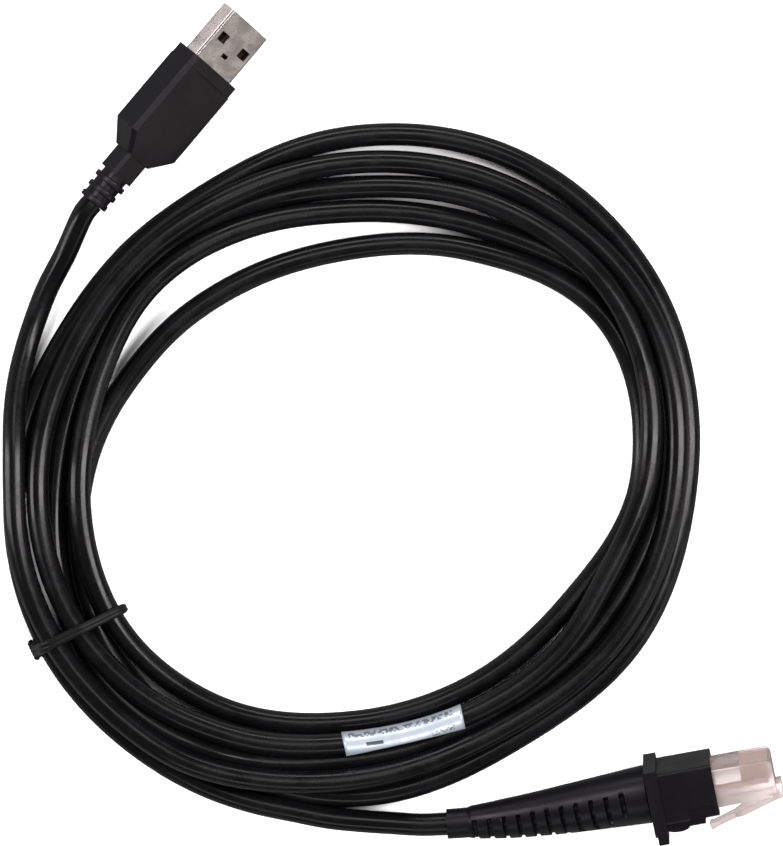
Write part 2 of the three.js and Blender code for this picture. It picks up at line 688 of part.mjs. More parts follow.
function tieOutline() {
  const { out, middle } = tieFrame();
  const half = (TIE.outer - TIE.inner) / 2;
  const round = CABLE_D / 2;
  const floor = TIE.wireD / 2 + TIE_LIFT;
  const { top } = TIE;
  const outline = [
    [-half + round, floor],
    [0, floor],
    [half - round, floor],
    [half, floor + round],
    [half, top - 1.7 * round],
    [half - 1.1 * round, top - 0.4 * round],
    [0, top],
    [-half + 1.1 * round, top - 0.4 * round],
    [-half, top - 1.7 * round],
    [-half, floor + round],
  ];
  return outline.map(([across, z]) => {
    const point = middle.clone().addScaledVector(out, across);
    point.z = z;
    return point;
  });
}

function tieLoop(diameter) {
  return wireLoop(tieOutline(), diameter, 8, 36, tieFrame().along);
}

// The two ends of the tie are twisted together beside the bundle.
function tieTwist() {
  const { out, along, middle } = tieFrame();
  const half = (TIE.outer - TIE.inner) / 2 + TIE.wireD / 2 + GAP;
  const { length, width, lift, rise } = TIE_TWIST;
  const stations = 6;
  const sides = 8;
  const start = middle.clone().addScaledVector(out, half + width / 2);
  const rings = [];
  for (let i = 0; i <= stations; i += 1) {
    const t = i / stations;
    const centre = start.clone().addScaledVector(along, (t - 0.5) * length);
    centre.z = width / 2 + lift + rise * t;
    const [c, s] = [Math.cos(t * Math.PI), Math.sin(t * Math.PI)];
    const ring = [];
    for (let j = 0; j < sides; j += 1) {
      const angle = (2 * Math.PI * j) / sides;
      const long = (Math.cos(angle) * width) / 2;
      const short = (Math.sin(angle) * width) / 4;
      const point = centre.clone().addScaledVector(out, long * c - short * s);
      point.z += long * s + short * c;
      ring.push(point);
    }
    rings.push(ring);
  }
  return skin(rings);
}

function cableLabel() {
  const { angle, radius, length, width, thickness, z } = LABEL;
  const half = (length / radius / 2) * (180 / Math.PI);
  const rings = [];
  for (let i = 0; i <= 8; i += 1) {
    const here = angle + THREE.MathUtils.lerp(-half, half, i / 8);
    rings.push([
      coilPoint(here, radius - width / 2, z),
      coilPoint(here, radius + width / 2, z),
      coilPoint(here, radius + width / 2, z + thickness),
      coilPoint(here, radius - width / 2, z + thickness),
    ]);
  }
  return skin(rings);
}

// ---------------------------------------------------------------------------------------
// Assembly
// ---------------------------------------------------------------------------------------

const assembly = new THREE.Group();
const host = hostPlug();
const scanner = scannerPlug();
assembly.add(host, scanner);

const bootCurve = reliefCurve(scanner);
piece(assembly, "boot_strain_relief", bootRelief(bootCurve), MOULDED);
piece(assembly, "boot_core", tube(bootCurve.getSpacedPoints(10), CORE_D, 12, 12), SCREEN);

const hostTail = hostTailPoints(host);
const plugTail = plugTailPoints(bootCurve);
const clearD = CABLE_D + 2 * GAP;
const coil = cut(
  coilRing(),
  slitTool(),
  tube(hostTail, clearD, 10, 26),
  tube(plugTail, clearD, 10, 14),
  tieLoop(TIE.wireD + 2 * GAP),
);
piece(assembly, "cable_coil", coil, JACKET);
piece(assembly, "cable_tail_host", tube(hostTail, CABLE_D, 10, 26), JACKET);
piece(assembly, "cable_tail_scanner", tube(plugTail, CABLE_D, 10, 14), JACKET);
piece(assembly, "cable_label", cableLabel(), FOIL_LABEL);
piece(assembly, "tie_wire", tieLoop(TIE.wireD), TIE_SLEEVE);
piece(assembly, "tie_twist", tieTwist(), TIE_SLEEVE);

export default assembly;
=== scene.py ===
"""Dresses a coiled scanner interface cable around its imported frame.

The cable lies in a tied coil. One end carries a flat shielded host plug, and the other a clear
modular plug with a spring latch, held in a flanged boot with a ribbed tail. Each plug has a frame
of its own, with +X towards its mating end. Its pieces are drawn there in millimetres, and then
placed in the frame in metres. The cable's route is worked out in metres from the start.
"""

import json
import logging
import math
from dataclasses import dataclass, field
from enum import Enum

import bmesh
import bpy
import numpy as np
from mathutils import Matrix, Vector

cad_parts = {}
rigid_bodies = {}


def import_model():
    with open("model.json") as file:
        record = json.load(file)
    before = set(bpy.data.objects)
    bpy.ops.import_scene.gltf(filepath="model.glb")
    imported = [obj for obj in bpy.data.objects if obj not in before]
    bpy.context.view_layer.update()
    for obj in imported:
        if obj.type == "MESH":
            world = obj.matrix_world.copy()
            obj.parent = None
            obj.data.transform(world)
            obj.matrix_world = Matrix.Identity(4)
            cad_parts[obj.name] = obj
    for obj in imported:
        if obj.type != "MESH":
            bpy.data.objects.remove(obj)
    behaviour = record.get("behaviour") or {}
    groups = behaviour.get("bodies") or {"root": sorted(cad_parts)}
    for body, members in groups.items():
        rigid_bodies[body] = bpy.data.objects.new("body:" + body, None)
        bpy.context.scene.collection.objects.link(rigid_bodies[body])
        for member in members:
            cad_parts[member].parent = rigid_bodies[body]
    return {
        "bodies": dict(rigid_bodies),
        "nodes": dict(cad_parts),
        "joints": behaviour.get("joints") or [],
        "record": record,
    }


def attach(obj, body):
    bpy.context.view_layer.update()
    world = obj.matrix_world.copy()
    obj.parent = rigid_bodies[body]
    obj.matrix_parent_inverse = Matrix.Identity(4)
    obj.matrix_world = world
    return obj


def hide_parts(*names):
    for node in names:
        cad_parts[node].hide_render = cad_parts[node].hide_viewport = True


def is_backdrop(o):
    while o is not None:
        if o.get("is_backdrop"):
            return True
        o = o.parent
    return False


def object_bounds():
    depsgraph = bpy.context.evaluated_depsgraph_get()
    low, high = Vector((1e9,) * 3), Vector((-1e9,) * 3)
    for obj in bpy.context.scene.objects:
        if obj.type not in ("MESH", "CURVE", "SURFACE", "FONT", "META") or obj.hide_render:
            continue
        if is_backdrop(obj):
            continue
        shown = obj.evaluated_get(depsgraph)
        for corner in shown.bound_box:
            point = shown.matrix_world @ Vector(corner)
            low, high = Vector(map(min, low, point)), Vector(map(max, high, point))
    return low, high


LOG = logging.getLogger("interface_cable")
MM = 0.001

Colour = tuple[float, float, float]
Point = tuple[float, float, float]

BOOT_MOUTH: Point = (0.0037, -0.0824, 0.0032)  # where the cable goes into the boot, in metres


class Body(Enum):
    """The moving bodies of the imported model."""

    ASSEMBLY = "cable_assembly"
    LATCH = "latch"


class Slot(Enum):
    """The record's material slots."""

    PLUG_STEEL = "plug_steel"
    INSULATOR = "insulator"
    CONTACT = "contact"
    SCREEN = "screen"
    MOULDING = "moulding"
    JACKET = "cable_jacket"
    CLEAR = "clear_plastic"
    LABEL = "label"
    TIE = "tie_sleeve"
    WIRE_RED = "wire_red"
    WIRE_WHITE = "wire_white"
    WIRE_GREEN = "wire_green"
    WIRE_BLACK = "wire_black"
    WIRE_BROWN = "wire_brown"
    DRAIN = "drain_wire"


SHOWN_ALONE = (Slot.LABEL, Slot.PLUG_STEEL, Slot.MOULDING)


# ---------------------------------------------------------------------------------------
# Node trees
# ---------------------------------------------------------------------------------------


class NodeSheet:
    """Adds nodes to one tree and joins them."""

    def __init__(self, tree: bpy.types.NodeTree) -> None:
        """Keeps the tree and empties it.

        Args:
            tree: the shader or geometry tree to fill.
        """
        self.tree = tree
        tree.nodes.clear()

    def add(self, kind: str, values: dict | None = None, **settings: object) -> bpy.types.Node:
        """Adds one node.

        Args:
            kind: the node's type.
            values: socket name or index to a constant, or to the output that feeds it.
            settings: the node's own properties.

        Returns:
            The new node.
        """
        node = self.tree.nodes.new(kind)
        for name, setting in settings.items():
            setattr(node, name, setting)
        for key, value in (values or {}).items():
            socket = node.inputs[key]
            if isinstance(value, bpy.types.NodeSocket):
                self.tree.links.new(value, socket)
            else:
                socket.default_value = value
        return node

    def math(self, operation: str, *terms: object) -> bpy.types.NodeSocket:
        """Adds a Math node and returns its output.

        Args:
            operation: the Math node's operation.
            terms: its inputs in order, constants or outputs.

        Returns:
            The node's output socket.
        """
        node = self.add("ShaderNodeMath", dict(enumerate(terms)), operation=operation)
        return node.outputs[0]

    def spread(self, value: bpy.types.NodeSocket, low: float, high: float) -> bpy.types.NodeSocket:
        """Maps a value from 0..1 to low..high and returns the output."""
        node = self.add("ShaderNodeMapRange", {0: value, 3: low, 4: high})
        return node.outputs[0]

    def mixed(self, share: object, first: object, second: object) -> bpy.types.NodeSocket:
        """Mixes two colours by a share and returns the colour output."""
        values = {0: share, 6: first, 7: second}
        return self.add("ShaderNodeMix", values, data_type="RGBA").outputs[2]


class Effects:
    """The shader groups that several finishes use, each built once."""

    def __init__(self) -> None:
        """Builds the groups."""
        self.grain = self._grain()
        self.marks = self._marks()
        self.edges = self._edges()

    @staticmethod
    def _tree(name: str, inputs: list[tuple[str, str, float]], outputs: list[str]) -> tuple:
        """Makes an empty group with its sockets.

        Args:
            name: the group's name.
            inputs: a socket name, socket type and default for each input.
            outputs: the names of the float outputs.

        Returns:
            The tree, its sheet and its Group Input node.
        """
        tree = bpy.data.node_groups.new(name, "ShaderNodeTree")
        for socket_name, kind, default in inputs:
            socket = tree.interface.new_socket(socket_name, in_out="INPUT", socket_type=kind)
            if kind == "NodeSocketFloat":
                socket.default_value = default
        for socket_name in outputs:
            tree.interface.new_socket(socket_name, in_out="OUTPUT", socket_type="NodeSocketFloat")
        sheet = NodeSheet(tree)
        return tree, sheet, sheet.add("NodeGroupInput")

    def _grain(self) -> bpy.types.NodeTree:
        """Makes the fine grain that a textured mould leaves.

        Returns:
            The group's tree.
        """
        inputs = [("Place", "NodeSocketVector", 0.0), ("Cells per metre", "NodeSocketFloat", 5000.0)]
        tree, sheet, given = self._tree("mould_grain", inputs, ["Height", "Mask"])
        place, scale = given.outputs[0], given.outputs[1]
        cells = sheet.add("ShaderNodeTexVoronoi", {"Vector": place, "Scale": scale})
        half = sheet.math("MULTIPLY", scale, 0.37)
        noise = sheet.add("ShaderNodeTexNoise", {"Vector": place, "Scale": half, "Detail": 3.0})
        height = sheet.math("MULTIPLY_ADD", cells.outputs["Distance"], 0.6, noise.outputs[0])
        sheet.add("NodeGroupOutput", {"Height": height, "Mask": noise.outputs[0]})
        return tree

    def _marks(self) -> bpy.types.NodeTree:
        """Makes the soft uneven marks of handling and cooling.

        Returns:
            The group's tree.
        """
        inputs = [("Place", "NodeSocketVector", 0.0), ("Marks per metre", "NodeSocketFloat", 120.0)]
        tree, sheet, given = self._tree("handling_marks", inputs, ["Mask", "Height"])
        place, scale = given.outputs[0], given.outputs[1]
        values = {"Vector": place, "Scale": scale, "Detail": 4.0, "Distortion": 0.6}
        broad = sheet.add("ShaderNodeTexNoise", values)
        fine = sheet.math("MULTIPLY", scale, 9.0)
        scuffs = sheet.add("ShaderNodeTexNoise", {"Vector": place, "Scale": fine, "Detail": 2.0})
        mixed = sheet.math("MULTIPLY_ADD", scuffs.outputs[0], 0.35, broad.outputs[0])
        values = {0: mixed, 1: 0.45, 2: 0.9}
        mask = sheet.add("ShaderNodeMapRange", values, interpolation_type="SMOOTHSTEP")
        sheet.add("NodeGroupOutput", {"Mask": mask.outputs[0], "Height": broad.outputs[0]})
        return tree

    def _edges(self) -> bpy.types.NodeTree:
        """Makes a mask of the corners that rub.

        Returns:
            The group's tree.
        """
        inputs = [("Place", "NodeSocketVector", 0.0), ("Reach", "NodeSocketFloat", 0.06)]
        tree, sheet, given = self._tree("rubbed_edges", inputs, ["Mask"])
        point = sheet.add("ShaderNodeNewGeometry").outputs["Pointiness"]
        top = sheet.math("ADD", given.outputs["Reach"], 0.5)
        sharp = sheet.add("ShaderNodeMapRange", {0: point, 1: 0.505, 2: top})
        values = {"Vector": given.outputs["Place"], "Scale": 1400.0, "Detail": 3.0}
        broken = sheet.add("ShaderNodeTexNoise", values)
        mask = sheet.math("MULTIPLY", sharp.outputs[0], broken.outputs[0])
        sheet.add("NodeGroupOutput", {"Mask": mask})
        return tree


# ---------------------------------------------------------------------------------------
# Finishes
# ---------------------------------------------------------------------------------------


class Finish:
    """What every finish shares: a named material with a Principled shader."""

    name: str

    def start(self) -> tuple[bpy.types.Material, NodeSheet, object]:
        """Makes the material and its sheet.

        Returns:
            The material, its sheet and the place that patterns follow.
        """
        material = bpy.data.materials.new(self.name)
        material.use_nodes = True
        sheet = NodeSheet(material.node_tree)
        return material, sheet, sheet.add("ShaderNodeTexCoord").outputs["Object"]

    @staticmethod
    def group(sheet: NodeSheet, tree: bpy.types.NodeTree, place: object, amount: float) -> object:
        """Places a shared group with its place and its one amount, and returns the node.

        Args:
            sheet: the material's sheet.
            tree: the shared group's tree.
            place: the coordinates that its patterns follow.
            amount: its one value, such as a scale.

        Returns:
            The group's node.
        """
        node = sheet.tree.nodes.new("ShaderNodeGroup")
        node.node_tree = tree
        sheet.tree.links.new(place, node.inputs[0])
        node.inputs[1].default_value = amount
        return node

    @staticmethod
    def close(sheet: NodeSheet, values: dict, height: object, depth: float) -> None:
        """Adds the bump, the Principled shader and the output.

        Args:
            sheet: the material's sheet.
            values: the Principled shader's inputs.
            height: what the bump follows.
            depth: the bump's depth in metres.
        """
        bump = sheet.add("ShaderNodeBump", {"Distance": depth, "Height": height, "Strength": 1.0})
        values["Normal"] = bump.outputs[0]
        shader = sheet.add("ShaderNodeBsdfPrincipled", values)
        sheet.add("ShaderNodeOutputMaterial", {"Surface": shader.outputs[0]})


@dataclass(frozen=True)
class Moulded(Finish):
    """Moulded plastic: a fine grain, soft marks and slightly paler edges."""

    name: str
    colour: Colour
    roughness: float = 0.42
    uneven: float = 0.12
    cells: float = 5200.0
    depth: float = 0.000006
    edge: float = 1.6
    dull: float = 0.82
    marks_per_metre: float = 160.0
    rub_reach: float = 0.07

    def material(self, effects: Effects) -> bpy.types.Material:
        """Builds the material.

        Args:
            effects: the shared groups.

        Returns:
            The finished material.
        """
        material, sheet, place = self.start()
        grain = self.group(sheet, effects.grain, place, self.cells)
        marks = self.group(sheet, effects.marks, place, self.marks_per_metre)
        rub = self.group(sheet, effects.edges, place, self.rub_reach)
        pale = tuple(min(1.0, c * self.edge + 0.004) for c in self.colour)
        dull = tuple(c * self.dull for c in self.colour)
        base = sheet.mixed(marks.outputs["Mask"], (*self.colour, 1.0), (*dull, 1.0))
        colour = sheet.mixed(rub.outputs["Mask"], base, (*pale, 1.0))
        low, high = self.roughness - self.uneven / 2, self.roughness + self.uneven / 2
        values = {
            "Base Color": colour,
            "Roughness": sheet.spread(marks.outputs["Mask"], low, high),
            "IOR": 1.5,
        }
        self.close(sheet, values, grain.outputs["Height"], self.depth)
        return material


@dataclass(frozen=True)
class Plated(Finish):
    """Plated metal: drawn lines along the plug, with faint cloudy marks."""

    name: str
    colour: Colour
    along: Vector
    roughness: float = 0.2
    uneven: float = 0.14
    depth: float = 0.0000025
    stain: float = 0.72
    marks_per_metre: float = 260.0
    lines: tuple[float, float, float] = (120.0, 4200.0, 4200.0)

    def material(self, effects: Effects) -> bpy.types.Material:
        """Builds the material.

        Args:
            effects: the shared groups.

        Returns:
            The finished material.
        """
        material, sheet, place = self.start()
        turn = self.along.to_track_quat("X", "Z").to_matrix().transposed().to_euler()
        values = {"Vector": place, "Rotation": turn, "Scale": self.lines}
        drawn = sheet.add("ShaderNodeMapping", values)
        lines = sheet.add("ShaderNodeTexNoise", {"Vector": drawn.outputs[0], "Scale": 1.0})
        marks = self.group(sheet, effects.marks, place, self.marks_per_metre)
        stained = tuple(c * self.stain for c in self.colour)
        colour = sheet.mixed(marks.outputs["Mask"], (*self.colour, 1.0), (*stained, 1.0))
        low, high = self.roughness - self.uneven / 2, self.roughness + self.uneven / 2
        values = {
            "Base Color": colour,
            "Metallic": 1.0,
            "Roughness": sheet.spread(marks.outputs["Mask"], low, high),
        }
        self.close(sheet, values, lines.outputs[0], self.depth)
        return material


@dataclass(frozen=True)
class Braided(Finish):
    """Tinned braid, woven at a slant round the core, with painted shade in the valleys of the weave."""

    name: str
    colour: Colour
    strands: float = 2600.0
    slant: float = 38.0
    # painted shade: the share of the colour left in the weave's low valleys
    dark: float = 0.3
    roughness: tuple[float, float] = (0.5, 0.28)
    depth: float = 0.00005

    def material(self, effects: Effects) -> bpy.types.Material:
        """Builds the material.

        Args:
            effects: the shared groups.

        Returns:
            The finished material.
        """
        material, sheet, place = self.start()
        weave = []
        for turn in (math.radians(self.slant), -math.radians(self.slant)):
            values = {"Vector": place, "Rotation": (turn, 0.0, turn)}
            slant = sheet.add("ShaderNodeMapping", values)
            values = {"Vector": slant.outputs[0], "Scale": self.strands}
            weave.append(sheet.add("ShaderNodeTexWave", values).outputs[1])
        height = sheet.math("MAXIMUM", *weave)
        # Painted shade: the base colour darkens where the weave is low, between the strands.
        dark = tuple(c * self.dark for c in self.colour)
        values = {
            "Base Color": sheet.mixed(height, (*dark, 1.0), (*self.colour, 1.0)),
            "Metallic": 1.0,
            "Roughness": sheet.spread(height, *self.roughness),
        }
        self.close(sheet, values, height, self.depth)
        return material


@dataclass(frozen=True)
class Extruded(Finish):
    """The cable's jacket: smooth extruded plastic with faint lines along its length.

    Its patterns follow the surface attribute that holds the straightened cable's coordinates.
    """

    name: str
    colour: Colour
    attribute: str
    roughness: float = 0.24
    uneven: float = 0.14
    depth: float = 0.00002
    dull: float = 1.7
    lines: tuple[float, float, float] = (900.0, 900.0, 14.0)
    marks_per_metre: float = 90.0
    cells: float = 3600.0
    wave: float = 2.6
    grain: float = 0.08

    def material(self, effects: Effects) -> bpy.types.Material:
        """Builds the material.

        Args:
            effects: the shared groups.

        Returns:
            The finished material.
        """
        material, sheet, _ = self.start()
        straight = sheet.add("ShaderNodeAttribute", attribute_name=self.attribute)
        place = straight.outputs["Vector"]
        values = {"Vector": place, "Scale": self.lines}
        drawn = sheet.add("ShaderNodeMapping", values)
        lines = sheet.add("ShaderNodeTexNoise", {"Vector": drawn.outputs[0], "Scale": 1.0})
        marks = self.group(sheet, effects.marks, place, self.marks_per_metre)
        grain = self.group(sheet, effects.grain, place, self.cells)
        dull = tuple(c * self.dull for c in self.colour)
        colour = sheet.mixed(marks.outputs["Mask"], (*self.colour, 1.0), (*dull, 1.0))
        low, high = self.roughness - self.uneven / 2, self.roughness + self.uneven / 2
        roughness = sheet.spread(marks.outputs["Mask"], low, high)
        waves = sheet.math("MULTIPLY_ADD", marks.outputs["Height"], self.wave, lines.outputs[0])
        height = sheet.math("MULTIPLY_ADD", grain.outputs["Height"], self.grain, waves)
        values = {"Base Color": colour, "Roughness": roughness, "IOR": 1.52}
        self.close(sheet, values, height, self.depth)
        return material


@dataclass(frozen=True)
class ClearPlastic(Finish):
    """Clear moulded plastic with faint flow marks."""

    name: str
    colour: Colour
    roughness: float = 0.12
    uneven: float = 0.12
    clearness: float = 0.66
    marks_per_metre: float = 220.0
    depth: float = 0.00008

    def material(self, effects: Effects) -> bpy.types.Material:
        """Builds the material.

        Args:
            effects: the shared groups.

        Returns:
            The finished material.
        """
        material, sheet, place = self.start()
        marks = self.group(sheet, effects.marks, place, self.marks_per_metre)
        low, high = self.roughness, self.roughness + self.uneven
        values = {
            "Base Color": (*self.colour, 1.0),
            "Roughness": sheet.spread(marks.outputs["Mask"], low, high),
            "Transmission Weight": self.clearness,
            "IOR": 1.46,
        }
        self.close(sheet, values, marks.outputs["Height"], self.depth)
        return material


@dataclass(frozen=True)
class PrintedFilm(Finish):
    """Silver film with plain printed dashes, in the label's own coordinates."""

    name: str
    colour: Colour
    ink: Colour
    uv: str
    cells: tuple[float, float] = (62.0, 14.0)
    bare: float = 0.42
    long_row: tuple = (0.05, 0.93, 0.73, 0.92)
    short_row: tuple = (0.72, 0.92, 0.17, 0.36)
    bar: tuple = (0.18, 0.32, 0.35, 0.5)
    faint: float = 0.7
    worn: float = 0.86
    sheen: float = 0.25
    roughness: tuple[float, float] = (0.34, 0.46)
    marks_per_metre: float = 300.0
    depth: float = 0.00004

    def _bar(self, sheet: NodeSheet, value: object, low: float, high: float) -> object:
        """Returns 1 where the value lies between low and high, and 0 elsewhere."""
        middle, half = (low + high) / 2, (high - low) / 2
        return sheet.math("COMPARE", value, middle, half)

    def _dashes(self, sheet: NodeSheet, u: object, v: object, row: tuple, seed: float) -> object:
        """Makes one row of dashes of uneven width.

        Args:
            sheet: the material's sheet.
            u: the place along the label.
            v: the place across it.
            row: the row's first and last u, and its lowest and highest v.
            seed: picks which cells are inked.

        Returns:
            The row's mask.
        """
        cell = sheet.math("FLOOR", sheet.math("MULTIPLY", u, self.cells[0]))
        tall = sheet.math("FLOOR", sheet.math("MULTIPLY", v, self.cells[1]))
        values = {"Vector": sheet.add("ShaderNodeCombineXYZ", {0: cell, 1: tall, 2: seed}).outputs[0]}
        chance = sheet.add("ShaderNodeTexWhiteNoise", values, noise_dimensions="3D").outputs[0]
        inked = sheet.math("GREATER_THAN", chance, self.bare)
        inside = sheet.math("MULTIPLY", self._bar(sheet, u, *row[:2]), self._bar(sheet, v, *row[2:]))
        return sheet.math("MULTIPLY", inked, inside)

    def material(self, effects: Effects) -> bpy.types.Material:
        """Builds the material.

        Args:
            effects: the shared groups.

        Returns:
            The finished material.
        """
        material, sheet, place = self.start()
        across = sheet.add("ShaderNodeUVMap", uv_map=self.uv).outputs[0]
        split = sheet.add("ShaderNodeSeparateXYZ", {0: across})
        u, v = split.outputs[0], split.outputs[1]
        top = self._dashes(sheet, u, v, self.long_row, 3.0)
        low = self._dashes(sheet, u, v, self.short_row, 8.0)
        ends, sides = self.bar[:2], self.bar[2:]
        bar = sheet.math("MULTIPLY", self._bar(sheet, u, *ends), self._bar(sheet, v, *sides))
        dashes = sheet.math("MULTIPLY", sheet.math("MAXIMUM", top, low), self.faint)
        inked = sheet.math("MAXIMUM", dashes, bar)
        marks = self.group(sheet, effects.marks, place, self.marks_per_metre)
        worn = tuple(c * self.worn for c in self.colour)
        film = sheet.mixed(marks.outputs["Mask"], (*self.colour, 1.0), (*worn, 1.0))
        values = {
            "Base Color": sheet.mixed(inked, film, (*self.ink, 1.0)),
            "Metallic": self.sheen,
            "Roughness": sheet.spread(marks.outputs["Mask"], *self.roughness),
        }
        self.close(sheet, values, marks.outputs["Height"], self.depth)
        return material


# ---------------------------------------------------------------------------------------
# Mesh bench
# ---------------------------------------------------------------------------------------


class Bench:
    """Makes, joins and cuts meshes in millimetres, in a plug's own frame."""

    OVERRUN = 1.0

    @staticmethod
    def solid(name: str, points: list, faces: list) -> bpy.types.Object:
        """Makes an object from points and faces, with its faces turned outwards.

        Args:
            name: the new object's name.
            points: the corners.
            faces: each face's corners, by number.

        Returns:
            The new object.
        """
        mesh = bpy.data.meshes.new(name)
        mesh.from_pydata([tuple(p) for p in points], [], faces)
        shape = bmesh.new()
        shape.from_mesh(mesh)
        bmesh.ops.remove_doubles(shape, verts=shape.verts, dist=1e-6)
        bmesh.ops.recalc_face_normals(shape, faces=shape.faces)
        shape.to_mesh(mesh)
        shape.free()
        made = bpy.data.objects.new(name, mesh)
        bpy.context.scene.collection.objects.link(made)
        return made

    @classmethod
    def loft(cls, name: str, rings: list[list[Point]], closed: bool = False) -> bpy.types.Object:
        """Skins rings of equal point count.

        Args:
            name: the new object's name.
            rings: the rings in order.
            closed: whether the last ring joins the first, in place of caps.

        Returns:
            The new object.
        """
        count = len(rings[0])
        points = [p for ring in rings for p in ring]
        spans = len(rings) if closed else len(rings) - 1
        faces = []
        for i in range(spans):
            here, there = i * count, ((i + 1) % len(rings)) * count
            for j in range(count):
                k = (j + 1) % count
                faces.append((here + j, here + k, there + k, there + j))
        if not closed:
            faces.append(tuple(range(count)))
            faces.append(tuple((len(rings) - 1) * count + j for j in range(count)))
        return cls.solid(name, points, faces)

    @staticmethod
    def ring(x: float, width: float, height: float, corner: float, steps: int = 1) -> list[Point]:
        """Draws a rectangle square to X with cut or rounded corners.

        Args:
            x: where the ring stands.
            width: its size along Y.
            height: its size along Z.
            corner: the size of the corners.
            steps: the faces in each corner: 1 for a chamfer, more for a round one.

        Returns:
            The ring's points.
        """
        points = []
        for quarter, (side, level) in enumerate([(1, 1), (-1, 1), (-1, -1), (1, -1)]):
            y, z = side * (width / 2 - corner), level * (height / 2 - corner)
            for step in range(steps + 1):
                angle = (quarter + step / steps) * math.pi / 2
                points.append((x, y + corner * math.cos(angle), z + corner * math.sin(angle)))
        return points

    @classmethod
    def box(cls, x: tuple, y: tuple, z: tuple) -> bpy.types.Object:
        """Makes a block between two values on each axis, used to build up or to cut."""
        rings = [[(v, y[0], z[0]), (v, y[1], z[0]), (v, y[1], z[1]), (v, y[0], z[1])] for v in x]
        return cls.loft("block", rings)

    @classmethod
    def bar(cls, x: tuple, width: float, height: float) -> bpy.types.Object:
        """Makes a block centred on the X axis."""
        return cls.box(x, (-width / 2, width / 2), (-height / 2, height / 2))

    @classmethod
    def rod(cls, x: tuple, diameter: float, sides: int = 32) -> bpy.types.Object:
        """Makes a round rod along the X axis."""
        return cls.loft("rod", [cls.circle(v, diameter, sides) for v in x])

    @staticmethod
    def circle(x: float, diameter: float, sides: int) -> list[Point]:
        """Draws a circle square to X."""
        turns = [2 * math.pi * j / sides for j in range(sides)]
        return [(x, math.cos(a) * diameter / 2, math.sin(a) * diameter / 2) for a in turns]

    @staticmethod
    def apply(piece: bpy.types.Object) -> None:
        """Turns a piece's modifiers into plain mesh.

        Args:
            piece: the piece, which keeps no modifiers.
        """
        deps = bpy.context.evaluated_depsgraph_get()
        source = piece.evaluated_get(deps)
        mesh = bpy.data.meshes.new_from_object(source, preserve_all_data_layers=True, depsgraph=deps)
        piece.modifiers.clear()
        old = piece.data
        piece.data = mesh
        bpy.data.meshes.remove(old)

    @classmethod
    def boolean(cls, base: bpy.types.Object, tools: list, operation: str) -> bpy.types.Object:
        """Joins tools to a base, or cuts them from it, and removes them.

        Args:
            base: the piece that stays.
            tools: the pieces that are used up.
            operation: UNION or DIFFERENCE.

        Returns:
            The base.
        """
        for tool in tools:
            step = base.modifiers.new("step", "BOOLEAN")
            step.operation = operation
            step.solver = "EXACT"
            step.object = tool
        cls.apply(base)
        for tool in tools:
            bpy.data.objects.remove(tool)
        return base

    @classmethod
    def soften(cls, piece: bpy.types.Object, edge: float, steps: int = 3) -> bpy.types.Object:
        """Rounds a piece's sharp edges and weights its normals by face.

        Args:
            piece: the piece to finish.
            edge: the rounding's width in millimetres.
            steps: the faces across the rounding.

        Returns:
            The piece.
        """
        shape = bmesh.new()
        shape.from_mesh(piece.data)
        bmesh.ops.remove_doubles(shape, verts=shape.verts, dist=1e-4)
        bmesh.ops.dissolve_limit(
            shape, angle_limit=math.radians(1.0), verts=shape.verts, edges=shape.edges
        )
        shape.to_mesh(piece.data)
        shape.free()
        rounding = piece.modifiers.new("rounding", "BEVEL")
        rounding.width = edge
        rounding.segments = steps
        rounding.limit_method = "ANGLE"
        rounding.angle_limit = math.radians(30)
        rounding.use_clamp_overlap = True
        cls.apply(piece)
        piece.data.shade_smooth()
        piece.data.set_sharp_from_angle(angle=math.radians(42))
        weighting = piece.modifiers.new("weighting", "WEIGHTED_NORMAL")
        weighting.keep_sharp = True
        cls.apply(piece)
        return piece


